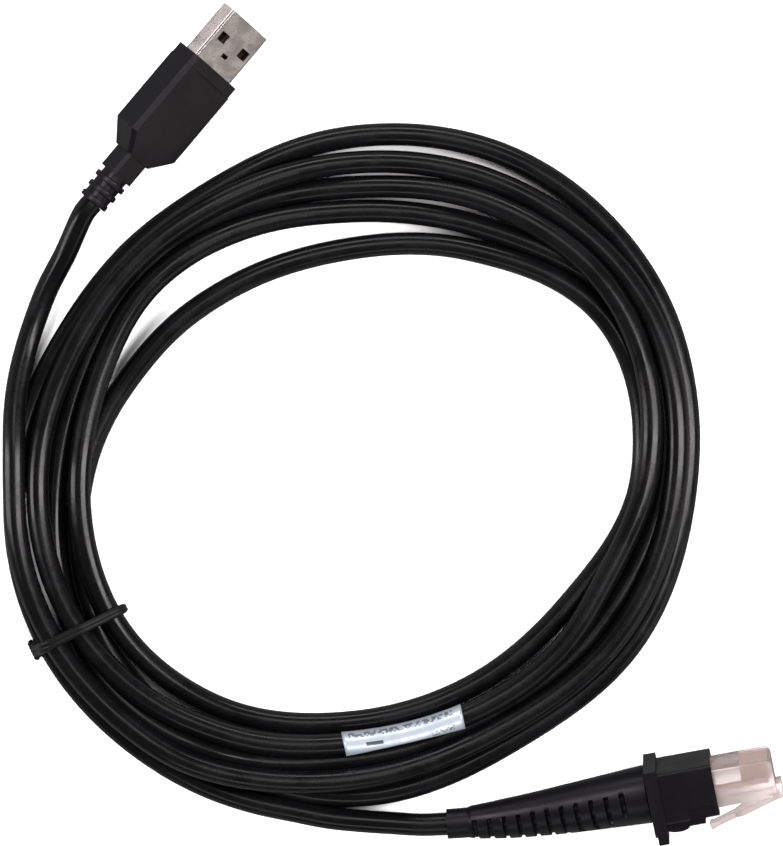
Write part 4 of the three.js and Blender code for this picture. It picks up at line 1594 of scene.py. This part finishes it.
@dataclass
class HostPlug:
    """The flat four-contact plug: stamped shell, tongue, contacts, housing and strain relief."""

    workshop: Workshop
    frame: PlugFrame
    gap: float = 0.3
    shell: tuple[float, float, float, float] = (12.0, 4.5, 0.3, 0.62)
    shell_ends: tuple[float, float] = (-6.8, 12.0)
    window: tuple[float, float, float, float] = (6.3, 3.5, 2.0, 2.4)
    tab: tuple[float, float, float] = (3.5, 0.8, 1.6)
    contact_sides: tuple = (-3.5, -1.0, 1.0, 3.5)
    contact: tuple[float, float, float, float] = (1.0, 0.3, -8.2, 10.4)
    crown: tuple[float, float] = (6.0, 0.1)
    tongue_top: float = 0.05
    housing: tuple[float, float, float] = (14.75, 8.0, 0.9)
    housing_ends: tuple[float, float] = (-19.9, -24.4)
    rim: float = 0.25
    groove: tuple[float, float, float, float] = (-2.5, 0.45, 0.35, 9.0)
    can: tuple[float, float, float, float] = (12.0, 5.4, -7.1, -15.0)
    neck: tuple[float, float, float, float] = (6.2, 5.6, -17.5, -29.6)
    neck_wall: float = 0.45
    web: float = 2.2
    rib: tuple[int, float, float] = (3, 2.45, 1.3)
    rib_sizes: tuple[float, float] = (7.1, 6.4)
    core: tuple[float, float, float] = (5.7, 4.2, -36.95)

    def make(self) -> None:
        """Makes every piece of the plug."""
        self._shell()
        self._contacts()
        self._housing()
        self._relief()
        self.workshop.dress_node("host_tongue", Slot.INSULATOR)
        for node in ("host_rear_shield", "host_core"):
            self.workshop.dress_node(node, Slot.SCREEN)
        wires = (Slot.WIRE_RED, Slot.WIRE_WHITE, Slot.WIRE_GREEN, Slot.WIRE_BLACK)
        for i, slot in enumerate(wires):
            self.workshop.dress_node(f"host_wire_{i + 1}", slot)

    def _shell(self) -> None:
        """Makes the stamped shell with its windows, its tab and its folded seam."""
        width, height, wall, corner = self.shell
        back, front = self.shell_ends
        steps = 5
        outside = Bench.loft(
            "host_shell_skin",
            [Bench.ring(x, width, height, corner, steps) for x in (back, front)],
        )
        inner = (width - 2 * wall, height - 2 * wall, corner - wall, steps)
        ends = (back - Bench.OVERRUN, front + Bench.OVERRUN)
        tools = [Bench.loft("inside", [Bench.ring(x, *inner) for x in ends])]
        x, y, length, across = self.window
        for side in (-1, 1):
            opening = [(-across / 2, -length / 2), (across / 2, -length / 2)]
            opening += [(across / 2, length / 2), (-across / 2, length / 2)]
            level = height
            rings = [[(x + b, side * y + a, z) for a, b in opening] for z in (-level, level)]
            tools.append(Bench.loft("window", rings))
        tab_x, tab_length, tab_width = self.tab
        tab_ends = (tab_x - tab_length / 2, tab_x + tab_length / 2)
        tools.append(Bench.box(tab_ends, (-tab_width / 2, tab_width / 2), (0.0, height)))
        seam = 0.07
        tools.append(Bench.box(ends, (-seam, seam), (-height, 0.0)))
        shell = Bench.boolean(outside, tools, "DIFFERENCE")
        Bench.soften(shell, 0.1, 2)
        self.frame.place(shell)
        self.workshop.hand_over(shell, Body.ASSEMBLY, Slot.PLUG_STEEL, "host_shell")

    def _contacts(self) -> None:
        """Makes the four contact strips, crowned towards their tips."""
        width, thickness, back, front = self.contact
        reach, rise = self.crown
        stations = 24
        rings = []
        for i in range(stations + 1):
            x = back + (front - back) * i / stations
            share = max(0.0, (x - (front - reach)) / reach)
            crown = rise * math.sin(math.pi * min(share, 1.0))
            ring = Bench.ring(x, width, thickness, 0.05)
            rings.append([(p[0], p[1], p[2] + crown) for p in ring])
        strip = Bench.loft("strip", rings)
        level = self.tongue_top - thickness / 2
        places = [(0.0, y, level) for y in self.contact_sides]
        finish = self.workshop.materials[Slot.CONTACT]
        strips = self.workshop.trees.row("host_contact_strips", strip, places, [1.0] * len(places), finish)
        self.frame.place(strips)
        nodes = [f"host_contact_{i + 1}" for i in range(len(places))]
        self.workshop.hand_over(strips, Body.ASSEMBLY, Slot.CONTACT, *nodes)

    def _housing(self) -> None:
        """Makes the moulded housing with its rooms, front rim and finger grooves."""
        width, height, chamfer = self.housing
        back, end = self.housing_ends
        neck_width, neck_height = (v + 2 * self.neck_wall for v in self.neck[:2])
        line = self.groove[0]
        shape = [
            (end, neck_width, neck_height, chamfer),
            (back, width, height, chamfer),
            (line, width, height, chamfer),
            (line, width - self.rim, height - self.rim, chamfer),
            (0.0, width - self.rim, height - self.rim, chamfer),
        ]
        housing = Bench.loft("host_overmould", [Bench.ring(*ring) for ring in shape])
        shell_width, shell_height = (v + 2 * self.gap for v in self.shell[:2])
        can_width, can_height, can_front, can_back = self.can
        web = can_back - self.web
        tools = [
            Bench.bar((can_front, Bench.OVERRUN), shell_width, shell_height),
            Bench.bar(
                (can_back - self.gap, can_front + self.gap),
                can_width + 2 * self.gap,
                can_height + 2 * self.gap,
            ),
            Bench.bar(
                (end - Bench.OVERRUN, web),
                self.neck[0] + 2 * self.gap,
                self.neck[1] + 2 * self.gap,
            ),
            Bench.rod((web - Bench.OVERRUN, can_back), self.core[1]),
        ]
        x, across, depth, length = self.groove
        for side in (-1, 1):
            level = side * height / 2
            tools.append(
                Bench.box((x - across, x), (-length / 2, length / 2), (level - depth, level + depth))
            )
        Bench.boolean(housing, tools, "DIFFERENCE")
        Bench.soften(housing, 0.22)
        self.frame.place(housing)
        self.workshop.hand_over(housing, Body.ASSEMBLY, Slot.MOULDING, "host_housing")

    def _relief(self) -> None:
        """Makes the strain relief: a square neck, three ribs and a bored core."""
        width, height, front, back = self.neck
        core, bore, end = self.core
        relief = Bench.loft(
            "host_bend_relief", [Bench.ring(x, width, height, 0.7) for x in (back, front)]
        )
        count, pitch, thickness = self.rib
        biggest, smallest = self.rib_sizes
        soft = 0.28
        profile = [
            (0.0, biggest - 2 * soft),
            (soft * 0.4, biggest - 0.5 * soft),
            (soft, biggest),
            (thickness - soft, biggest),
            (thickness - soft * 0.4, biggest - 0.5 * soft),
            (thickness, biggest - 2 * soft),
        ]
        rib = Bench.loft("rib", [Bench.circle(x, size, 40) for x, size in profile])
        places = [(back - (i + 1) * pitch, 0.0, 0.0) for i in range(count)]
        sizes = [1.0 + (smallest / biggest - 1.0) * i / (count - 1) for i in range(count)]
        finish = self.workshop.materials[Slot.MOULDING]
        ribs = self.workshop.trees.row("ribs", rib, places, sizes, finish)
        Bench.boolean(relief, [Bench.rod((end, back + Bench.OVERRUN), core, 40), ribs], "UNION")
        bored = Bench.rod((end - Bench.OVERRUN, front + Bench.OVERRUN), bore)
        Bench.boolean(relief, [bored], "DIFFERENCE")
        Bench.soften(relief, 0.14)
        self.frame.place(relief)
        self.workshop.hand_over(relief, Body.ASSEMBLY, Slot.MOULDING, "host_strain_relief")


# ---------------------------------------------------------------------------------------
# Modular plug and boot
# ---------------------------------------------------------------------------------------


@dataclass
class ModularPlug:
    """The clear ten-way plug: body, latch, contact blades and wires."""

    workshop: Workshop
    frame: PlugFrame
    body: tuple[float, float] = (11.7, 8.0)
    ends: tuple[float, float] = (2.0, 23.5)
    nose: tuple[float, float, float] = (1.0, 1.0, 1.5)
    cavity: tuple[float, float, float] = (9.6, 5.4, 8.0)
    channel: tuple[float, float, float] = (10.6, 1.4, 22.3)
    blades: tuple[int, float, float] = (10, 1.02, 0.36)
    blade_ends: tuple[float, float] = (17.0, 22.6)
    blade_heights: tuple[float, float] = (1.05, 3.7)
    teeth: tuple[float, float] = (0.25, 0.6)
    tooth: tuple[float, float] = (0.35, 0.55)
    blade_corner: float = 1.1
    slot_side: float = 0.12
    wires: int = 6
    wire: float = 0.8
    latch_pivot: tuple[float, float] = (23.2, -4.875)
    latch_size: tuple[float, float, float, float] = (5.6, 3.3, 1.15, 15.1)
    latch_shoulder: float = 8.0
    latch_rest: float = 16.0
    latch_front: float = 0.75
    foot: tuple[float, float, float, float] = (24.7, 5.6, -5.3, -2.1)

    def make(self) -> None:
        """Makes every piece of the plug."""
        self._body()
        self._latch()
        self._blades()
        self._wires()

    def _body(self) -> None:
        """Makes the clear body with its cavity, wire channel and blade slots."""
        width, height = self.body
        back, front = self.ends
        bevel, less_width, less_height = self.nose
        rings = [
            Bench.ring(back, width, height, 0.3, 3),
            Bench.ring(front - bevel, width, height, 0.3, 3),
            Bench.ring(front, width - less_width, height - less_height, 0.3, 3),
        ]
        body = Bench.loft("modular_clear_body", rings)
        foot_front, foot_width, foot_low, foot_high = self.foot
        side = foot_width / 2
        foot = Bench.box((front - bevel * 2, foot_front), (-side, side), (foot_low, foot_high))
        Bench.boolean(body, [foot], "UNION")
        room_width, room_height, room_length = self.cavity
        run = Bench.OVERRUN
        tools = [Bench.bar((back - run, back + room_length), room_width, room_height)]
        channel_width, channel_height, channel_front = self.channel
        tools.append(Bench.bar((back + run, channel_front), channel_width, channel_height))
        count, pitch, thickness = self.blades
        half = thickness / 2 + self.slot_side
        slot = (self.blade_ends[0] - self.slot_side, self.blade_ends[1] + self.slot_side)
        for i in range(count):
            y = (i - (count - 1) / 2) * pitch
            tools.append(Bench.box(slot, (y - half, y + half), (0.0, height)))
        Bench.boolean(body, tools, "DIFFERENCE")
        Bench.soften(body, 0.09, 2)
        self.frame.place(body)
        self.workshop.hand_over(body, Body.ASSEMBLY, Slot.CLEAR, "modular_plug_body")

    def _latch(self) -> None:
        """Makes the latch: a wide root, a narrow lever and a lip, bent from the nose."""
        root, lever, thickness, length = self.latch_size
        pivot_x, pivot_z = self.latch_pivot
        half = thickness / 2
        ease = 1.4
        shape = [
            (self.latch_front, root, half * 0.7),
            (self.latch_front - 0.4, root, half),
            (-self.latch_shoulder, root, half),
            (-self.latch_shoulder - ease, lever, half * 0.94),
            (-length + 1.0, lever, half * 0.86),
            (-length + 0.7, lever, half * 1.15),
            (-length, lever, half * 1.05),
        ]
        latch = Bench.loft(
            "modular_clear_latch",
            [[(x, y, z) for x, y, z in self._band(*station)] for station in shape],
        )
        Bench.soften(latch, 0.12, 2)
        latch.data.transform(Matrix.Rotation(-math.radians(self.latch_rest), 4, "Y"))
        latch.data.transform(Matrix.Translation((pivot_x, 0.0, pivot_z)))
        self.frame.place(latch)
        self.workshop.hand_over(latch, Body.LATCH, Slot.CLEAR, "modular_plug_latch")

    @staticmethod
    def _band(x: float, width: float, half: float) -> list[Point]:
        """Draws one station of the latch, a flat rectangle square to X."""
        side = width / 2
        return [(x, -side, -half), (x, side, -half), (x, side, half), (x, -side, half)]

    def _blades(self) -> None:
        """Makes the ten contact blades, rounded at the nose with two piercing teeth."""
        back, front = self.blade_ends
        low, high = self.blade_heights
        count, pitch, thickness = self.blades
        outline = [(back, high), (back, low)]
        side, depth = self.tooth
        for share in self.teeth:
            x = back + (front - back) * share
            outline += [(x - side, low), (x, low - depth), (x + side, low)]
        outline.append((front, low))
        radius = self.blade_corner
        corner = (front - radius, high - radius)
        steps = 6
        for i in range(steps + 1):
            turn = math.pi / 2 * i / steps
            outline.append((corner[0] + radius * math.cos(turn), corner[1] + radius * math.sin(turn)))
        rings = [[(x, y, z) for x, z in outline] for y in (-thickness / 2, thickness / 2)]
        blade = Bench.loft("blade", rings)
        places = [(0.0, (i - (count - 1) / 2) * pitch, 0.0) for i in range(count)]
        finish = self.workshop.materials[Slot.CONTACT]
        row = self.workshop.trees.row("modular_contact_blades", blade, places, [1.0] * count, finish)
        row.data.shade_flat()
        self.frame.place(row)
        nodes = [f"modular_contact_{i + 1}" for i in range(count)]
        self.workshop.hand_over(row, Body.ASSEMBLY, Slot.CONTACT, *nodes)

    def _wires(self) -> None:
        """Makes the wires that run from the boot to the blades."""
        slots = (
            Slot.WIRE_RED,
            Slot.WIRE_WHITE,
            Slot.WIRE_GREEN,
            Slot.WIRE_BLACK,
            Slot.DRAIN,
            Slot.WIRE_BROWN,
        )
        pitch = self.blades[1]
        front = self.channel[2] - 0.3
        for i in range(self.wires):
            y = (i - (self.wires - 1) / 2) * pitch
            line = [Vector((-0.4 + (front + 0.4) * k / 12, y, 0.0)) for k in range(13)]
            for k, point in enumerate(line):
                point.z = 0.05 * math.sin(k * 1.3 + i)
            finish = self.workshop.materials[slots[i]]
            name = f"signal_wire_{i + 1}"
            wire = self.workshop.trees.tube(name, smooth_line(line, 0.6), self.wire, 16, finish)
            self.frame.place(wire)
            self.workshop.hand_over(wire, Body.ASSEMBLY, slots[i], f"modular_wire_{i + 1}")


@dataclass
class Boot:
    """The black boot: a flanged head round the modular plug, and a grooved tail."""

    workshop: Workshop
    frame: PlugFrame
    block: tuple[float, float, float, float] = (13.6, 11.0, 11.2, 0.7)
    plug: tuple[float, float, float] = (12.1, 8.4, 1.7)
    way: tuple[float, float] = (7.2, 4.6)
    flange: tuple[float, float, float, float] = (2.6, 14.8, -7.5, 6.4)
    lug: tuple[float, float, float] = (2.15, 8.0, -10.35)
    guard: tuple[float, float, float, float] = (8.0, 8.0, -7.3, -6.2)
    bump: tuple[float, float] = (4.6, -8.1)
    latch_channel: float = 7.0
    notch: tuple[float, float, float, float, float] = (5.0, 10.2, -6.5, -2.9, 0.45)
    tail_end: Point = BOOT_MOUTH
    tail_yaw: float = 3.5
    tail_lead: tuple[float, float] = (15.0, 0.6)
    tail_sizes: tuple = ((0.0, 6.2), (0.1, 6.25), (0.12, 6.9), (0.3, 8.4), (0.6, 10.2), (1.0, 12.1))
    bore: float = 4.2
    tail_length: float = 46.0
    grooves: int = 11
    groove_width: float = 0.85
    groove_depth: float = 1.5
    groove_span: tuple[float, float] = (0.134, 0.888)
    groove_turns: tuple = ((-18.0, -22.0), (116.0, 24.0))
    groove_wall: float = 0.35
    groove_soft: float = 4.0
    groove_shallow: tuple[float, float, float] = (0.68, 42.0, 34.0)
    stations: int = 400
    sides: int = 112

    def make(self) -> None:
        """Makes both pieces of the boot."""
        self._head()
        self._tail()
        self.workshop.dress_node("boot_core", Slot.SCREEN)

    def _head(self) -> None:
        """Makes the head: a block round the plug, the flange, its lug and the latch guard."""
        width, height, length, chamfer = self.block
        thick, flange_width, flange_low, flange_high = self.flange
        sunk = -thick / 4
        rings = [Bench.ring(x, width, height, chamfer, 3) for x in (sunk, length)]
        head = Bench.loft("boot_moulding", rings)
        lug_thick, lug_width, lug_end = self.lug
        lug_at = (-thick / 2 - lug_thick / 2, -thick / 2 + lug_thick / 2)
        guard_width, guard_reach, guard_low, guard_high = self.guard
        side = guard_width / 2
        half = flange_width / 2
        parts = [
            Bench.box((-thick, 0.0), (-half, half), (flange_low, flange_high)),
            Bench.box(lug_at, (-lug_width / 2, lug_width / 2), (lug_end, flange_low + 1.0)),
            Bench.box((sunk, guard_reach), (-side, side), (guard_low, guard_high)),
            self._bump(side),
        ]
        Bench.boolean(head, parts, "UNION")
        plug_width, plug_height, plug_back = self.plug
        run = Bench.OVERRUN
        channel = self.latch_channel / 2
        tools = [
            Bench.bar((plug_back, length + run), plug_width, plug_height),
            Bench.box((self.bump[0], length + run), (-channel, channel), (guard_high, 0.0)),
            Bench.box((guard_reach, length + run), (-channel, channel), (self.bump[1] - run, 0.0)),
            Bench.bar((-thick - run, plug_back + run), *self.way),
        ]
        start, end, low, high, depth = self.notch
        for way in (-1, 1):
            level = way * width / 2
            tools.append(Bench.box((start, end), (level - depth, level + depth), (low, high)))
        Bench.boolean(head, tools, "DIFFERENCE")
        Bench.soften(head, 0.2)
        self.frame.place(head)
        self.workshop.hand_over(head, Body.ASSEMBLY, Slot.MOULDING, "boot_head")

    def _bump(self, side: float) -> bpy.types.Object:
        """Makes the rounded rest under the latch's tip.

        Args:
            side: half its width.

        Returns:
            The new object.
        """
        reach, low = self.bump
        top = self.guard[3] + 1.5
        steps = 10
        outline = [(-0.6, top)]
        for i in range(steps + 1):
            turn = math.pi * i / steps
            x = reach / 2 - reach / 2 * math.cos(turn)
            outline.append((x, self.guard[2] + (low - self.guard[2]) * math.sin(turn) - 0.02))
        outline.append((reach, top))
        rings = [[(x, y, z) for x, z in outline] for y in (-side, side)]
        return Bench.loft("bump", rings)

    def _curve(self) -> list[Vector]:
        """Draws the tail's centreline from the cable to the flange, in metres.

        Returns:
            The line's points.
        """
        back = -self.flange[0] - 0.3
        length, rise = self.tail_lead
        yaw = math.radians(self.tail_yaw)
        end = Vector(self.tail_end)
        lean = Vector((length * math.cos(yaw), length * math.sin(yaw), rise)) * MM
        knots = [end, end + lean]
        knots += [self.frame.point(-self.flange[0] - length), self.frame.point(back)]
        count = self.stations
        line = []
        for i in range(count + 1):
            t = i / count
            weights = ((1 - t) ** 3, 3 * t * (1 - t) ** 2, 3 * t * t * (1 - t), t**3)
            line.append(sum((k * w for k, w in zip(knots, weights)), Vector()))
        return line

    def _groove(self, share: float, angle: float) -> float:
        """Returns how deep the grooves are at a place on the tail.

        Args:
            share: the place along the tail, from 0 at the cable to 1 at the flange.
            angle: the place round it, from the side that faces out.

        Returns:
            The depth from 0 to 1.
        """
        first, last = self.groove_span
        if not first - 0.03 < share < last + 0.03:
            return 0.0
        pitch = (last - first) / (self.grooves - 1)
        place = (share - first) / pitch
        nearest = min(max(round(place), 0), self.grooves - 1)
        away = abs(place - nearest) * pitch
        half = self.groove_width / 2 / self.tail_length
        wall = half * self.groove_wall
        along = min(max((half + wall - away) / wall, 0.0), 1.0)
        done = nearest / (self.grooves - 1)
        low, high = (a + (b - a) * done**2 for a, b in self.groove_turns)
        turned = math.degrees(math.asin(math.sin(angle)))
        inside = min(turned - low, high - turned)
        less, start, over = self.groove_shallow
        shallow = 1.0 - less * min(max((turned - start) / over, 0.0), 1.0)
        return along * shallow * min(max(inside / self.groove_soft + 1.0, 0.0), 1.0)

    def _tail(self) -> None:
        """Makes the grooved tail, tapered from the flange down to the cable."""
        line = self._curve()
        sides = self.sides
        knots = np.array([s for s, _ in self.tail_sizes])
        sizes = np.array([d for _, d in self.tail_sizes])
        face = self.frame.matrix.to_3x3() @ Vector((0.0, -1.0, 0.0))
        rings, bores = [], []
        count = len(line) - 1
        for i, centre in enumerate(line):
            share = i / count
            along = (line[min(i + 1, count)] - line[max(i - 1, 0)]).normalized()
            out = (face - along * face.dot(along)).normalized()
            side = along.cross(out)
            radius = float(np.interp(share, knots, sizes)) / 2
            ring = []
            for j in range(sides):
                angle = 2 * math.pi * j / sides
                turned = (angle + math.pi) % (2 * math.pi) - math.pi
                deep = min(self.groove_depth, radius - self.bore / 2 - 0.4)
                here = (radius - deep * self._groove(share, turned)) * MM
                ring.append(tuple(centre + (out * math.cos(angle) + side * math.sin(angle)) * here))
            rings.append(ring)
            if i % 8 == 0:
                hole = self.bore / 2 * MM
                spots = [2 * math.pi * j / sides for j in range(sides)]
                bores.append(
                    [tuple(centre + (out * math.cos(a) + side * math.sin(a)) * hole) for a in spots]
                )
        tail = Bench.loft("boot_bend_relief", rings + bores[::-1], closed=True)
        tail.data.shade_smooth()
        tail.data.set_sharp_from_angle(angle=math.radians(50))
        self.workshop.hand_over(tail, Body.ASSEMBLY, Slot.MOULDING, "boot_strain_relief")


# ---------------------------------------------------------------------------------------
# Studio
# ---------------------------------------------------------------------------------------


@dataclass(frozen=True)
class Softbox:
    """One soft light: where it stands round the coil, its size and its power."""

    name: str
    azimuth: float
    lean: float
    distance: float
    size: tuple[float, float]
    power: float
    colour: Colour = (1.0, 1.0, 1.0)
    reaches: Slot | None = None


@dataclass
class Studio:
    """The camera, the floor and the lights."""

    low: Vector
    high: Vector
    lens: float = 250.0
    sensor: float = 36.0
    margin: float = 1.0015
    shift: tuple[float, float] = (0.00045, 0.0005)
    paper: tuple[float, float, float] = (0.92, 0.74, 0.08)
    paper_half: float = 1.6
    # painted shade: the floor's tone is darkened by ambient occlusion within this reach, mapped over this
    # range
    painted_shade_reach: float = 0.0035
    painted_shade_range: tuple[float, float] = (0.1, 0.4)
    room: Colour = (1.0, 0.97, 0.96)
    room_light: float = 0.06
    room_through_clear: float = 0.8
    boxes: tuple = (
        Softbox("right_box", 0.0, 36.0, 0.55, (0.12, 0.5), 1.2, (1.0, 0.95, 0.97)),
        Softbox("left_box", 180.0, 74.0, 0.6, (0.10, 0.6), 0.8, (1.0, 0.97, 1.0)),
        Softbox("back_box", 90.0, 66.0, 0.6, (0.5, 0.10), 0.5, (1.0, 0.98, 1.0)),
        Softbox("front_box", 262.0, 58.0, 0.6, (0.4, 0.10), 0.15, (1.0, 0.98, 1.0)),
        Softbox("top_box", 100.0, 18.0, 0.9, (0.3, 0.3), 0.42, (1.0, 0.97, 0.96)),
        Softbox("right_wall", 320.0, 80.0, 0.6, (0.6, 0.3), 0.3, (1.0, 0.96, 0.93)),
        Softbox("left_wall", 140.0, 84.0, 0.6, (0.6, 0.3), 0.15, (1.0, 0.94, 0.95)),
        Softbox("pale_east", 10.0, 42.0, 0.8, (0.3, 0.3), 6.0, reaches=Slot.LABEL),
        Softbox("pale_north", 100.0, 42.0, 0.8, (0.3, 0.3), 6.0, reaches=Slot.LABEL),
        Softbox("pale_west", 190.0, 42.0, 0.8, (0.3, 0.3), 6.0, reaches=Slot.LABEL),
        Softbox("pale_south", 280.0, 42.0, 0.8, (0.3, 0.3), 6.0, reaches=Slot.LABEL),
        Softbox("edge_box", 142.0, 34.0, 0.6, (0.12, 0.12), 0.5, (1.0, 0.95, 0.99), Slot.MOULDING),
        Softbox(
            "steel_wall", 142.0, 82.0, 0.6, (0.6, 0.35), 2.0, (1.0, 0.92, 0.94), Slot.PLUG_STEEL
        ),
    )

    def camera(self) -> None:
        """Makes the camera, straight above the coil, framed on the whole cable."""
        data = bpy.data.cameras.new("camera")
        data.lens = self.lens
        data.sensor_width = self.sensor
        data.clip_end = 20.0
        middle = (self.low + self.high) / 2
        tall = (self.high.y - self.low.y) * self.margin
        distance = tall * self.lens / self.sensor
        camera = bpy.data.objects.new("camera", data)
        camera.location = (middle.x + self.shift[0], middle.y + self.shift[1], middle.z + distance)
        bpy.context.scene.collection.objects.link(camera)
        bpy.context.scene.camera = camera

    def floor(self) -> None:
        """Makes the pale paper floor, which gives the black cable little to reflect, and paints shade in
        its gaps.
        """
        half = self.paper_half
        corners = [(-half, -half, 0.0), (half, -half, 0.0), (half, half, 0.0), (-half, half, 0.0)]
        mesh = bpy.data.meshes.new("floor")
        mesh.from_pydata(corners, [], [(0, 1, 2, 3)])
        self.paper_sheet = bpy.data.objects.new("floor", mesh)
        bpy.context.scene.collection.objects.link(self.paper_sheet)
        material = bpy.data.materials.new("pale_floor")
        material.use_nodes = True
        sheet = NodeSheet(material.node_tree)
        seen, through_clear, reflected = self.paper
        ray = sheet.add("ShaderNodeLightPath").outputs
        tone = sheet.math("MULTIPLY_ADD", ray["Is Camera Ray"], seen - reflected, reflected)
        clear = sheet.math("MINIMUM", ray["Transmission Depth"], 1.0)
        tone = sheet.math("MULTIPLY_ADD", clear, through_clear - reflected, tone)
        # Painted shade: ambient occlusion darkens the floor's tone in the narrow gaps between strands and
        # close beside them.
        open_sky = sheet.add("ShaderNodeAmbientOcclusion", {"Distance": self.painted_shade_reach}).outputs["AO"]
        values = {0: open_sky, 1: self.painted_shade_range[0], 2: self.painted_shade_range[1]}
        tone = sheet.math("MULTIPLY", tone, sheet.add("ShaderNodeMapRange", values).outputs[0])
        grey = sheet.add("ShaderNodeCombineColor", {0: tone, 1: tone, 2: tone})
        shader = sheet.add("ShaderNodeBsdfDiffuse", {"Color": grey.outputs[0]})
        sheet.add("ShaderNodeOutputMaterial", {"Surface": shader.outputs[0]})
        mesh.materials.append(material)
        self.paper_sheet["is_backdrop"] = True

    def lights(self, shown_alone: dict[Slot, list]) -> None:
        """Makes the softboxes and the faint light of the room.

        Args:
            shown_alone: the pieces that have lights of their own, by slot.
        """
        middle = (self.low + self.high) / 2
        reach = {}
        for slot, pieces in shown_alone.items():
            reach[slot] = bpy.data.collections.new(f"{slot.name.lower()}_lights_reach")
            for piece in pieces:
                reach[slot].objects.link(piece)
        reach[Slot.LABEL].objects.link(self.paper_sheet)
        for box in self.boxes:
            light = bpy.data.lights.new(box.name, "AREA")
            light.shape = "RECTANGLE"
            light.size, light.size_y = box.size
            light.energy = box.power
            light.color = box.colour
            lamp = bpy.data.objects.new(box.name, light)
            turn, lean = math.radians(box.azimuth), math.radians(box.lean)
            away = Vector(
                (math.cos(turn) * math.sin(lean), math.sin(turn) * math.sin(lean), math.cos(lean))
            )
            lamp.location = middle + away * box.distance
            lamp.rotation_mode = "QUATERNION"
            lamp.rotation_quaternion = away.to_track_quat("Z", "Y")
            if box.reaches:
                lamp.light_linking.receiver_collection = reach[box.reaches]
            bpy.context.scene.collection.objects.link(lamp)
        world = bpy.data.worlds.new("room")
        world.use_nodes = True
        sheet = NodeSheet(world.node_tree)
        passed = sheet.add("ShaderNodeLightPath").outputs["Transmission Depth"]
        clear = sheet.math("MINIMUM", passed, 1.0)
        strength = sheet.math("MULTIPLY_ADD", clear, self.room_through_clear, self.room_light)
        sky = sheet.add("ShaderNodeBackground", {0: (*self.room, 1.0), 1: strength})
        sheet.add("ShaderNodeOutputWorld", {0: sky.outputs[0]})
        bpy.context.scene.world = world


def main() -> None:
    """Builds the cable, its two plugs and the studio."""
    logging.basicConfig(level=logging.INFO, format="%(message)s")
    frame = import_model()
    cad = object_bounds()
    studio = Studio(*cad)
    studio.camera()
    workshop = Workshop(frame)
    host = PlugFrame.of_host(frame["record"])
    scanner = PlugFrame.of_scanner(frame["record"])
    Cable(workshop, host).make()
    HostPlug(workshop, host).make()
    ModularPlug(workshop, scanner).make()
    Boot(workshop, scanner).make()
    studio.floor()
    studio.lights(workshop.shown_alone)
    bpy.context.scene.view_settings.view_transform = "Standard"


if __name__ == "__main__":
    main()
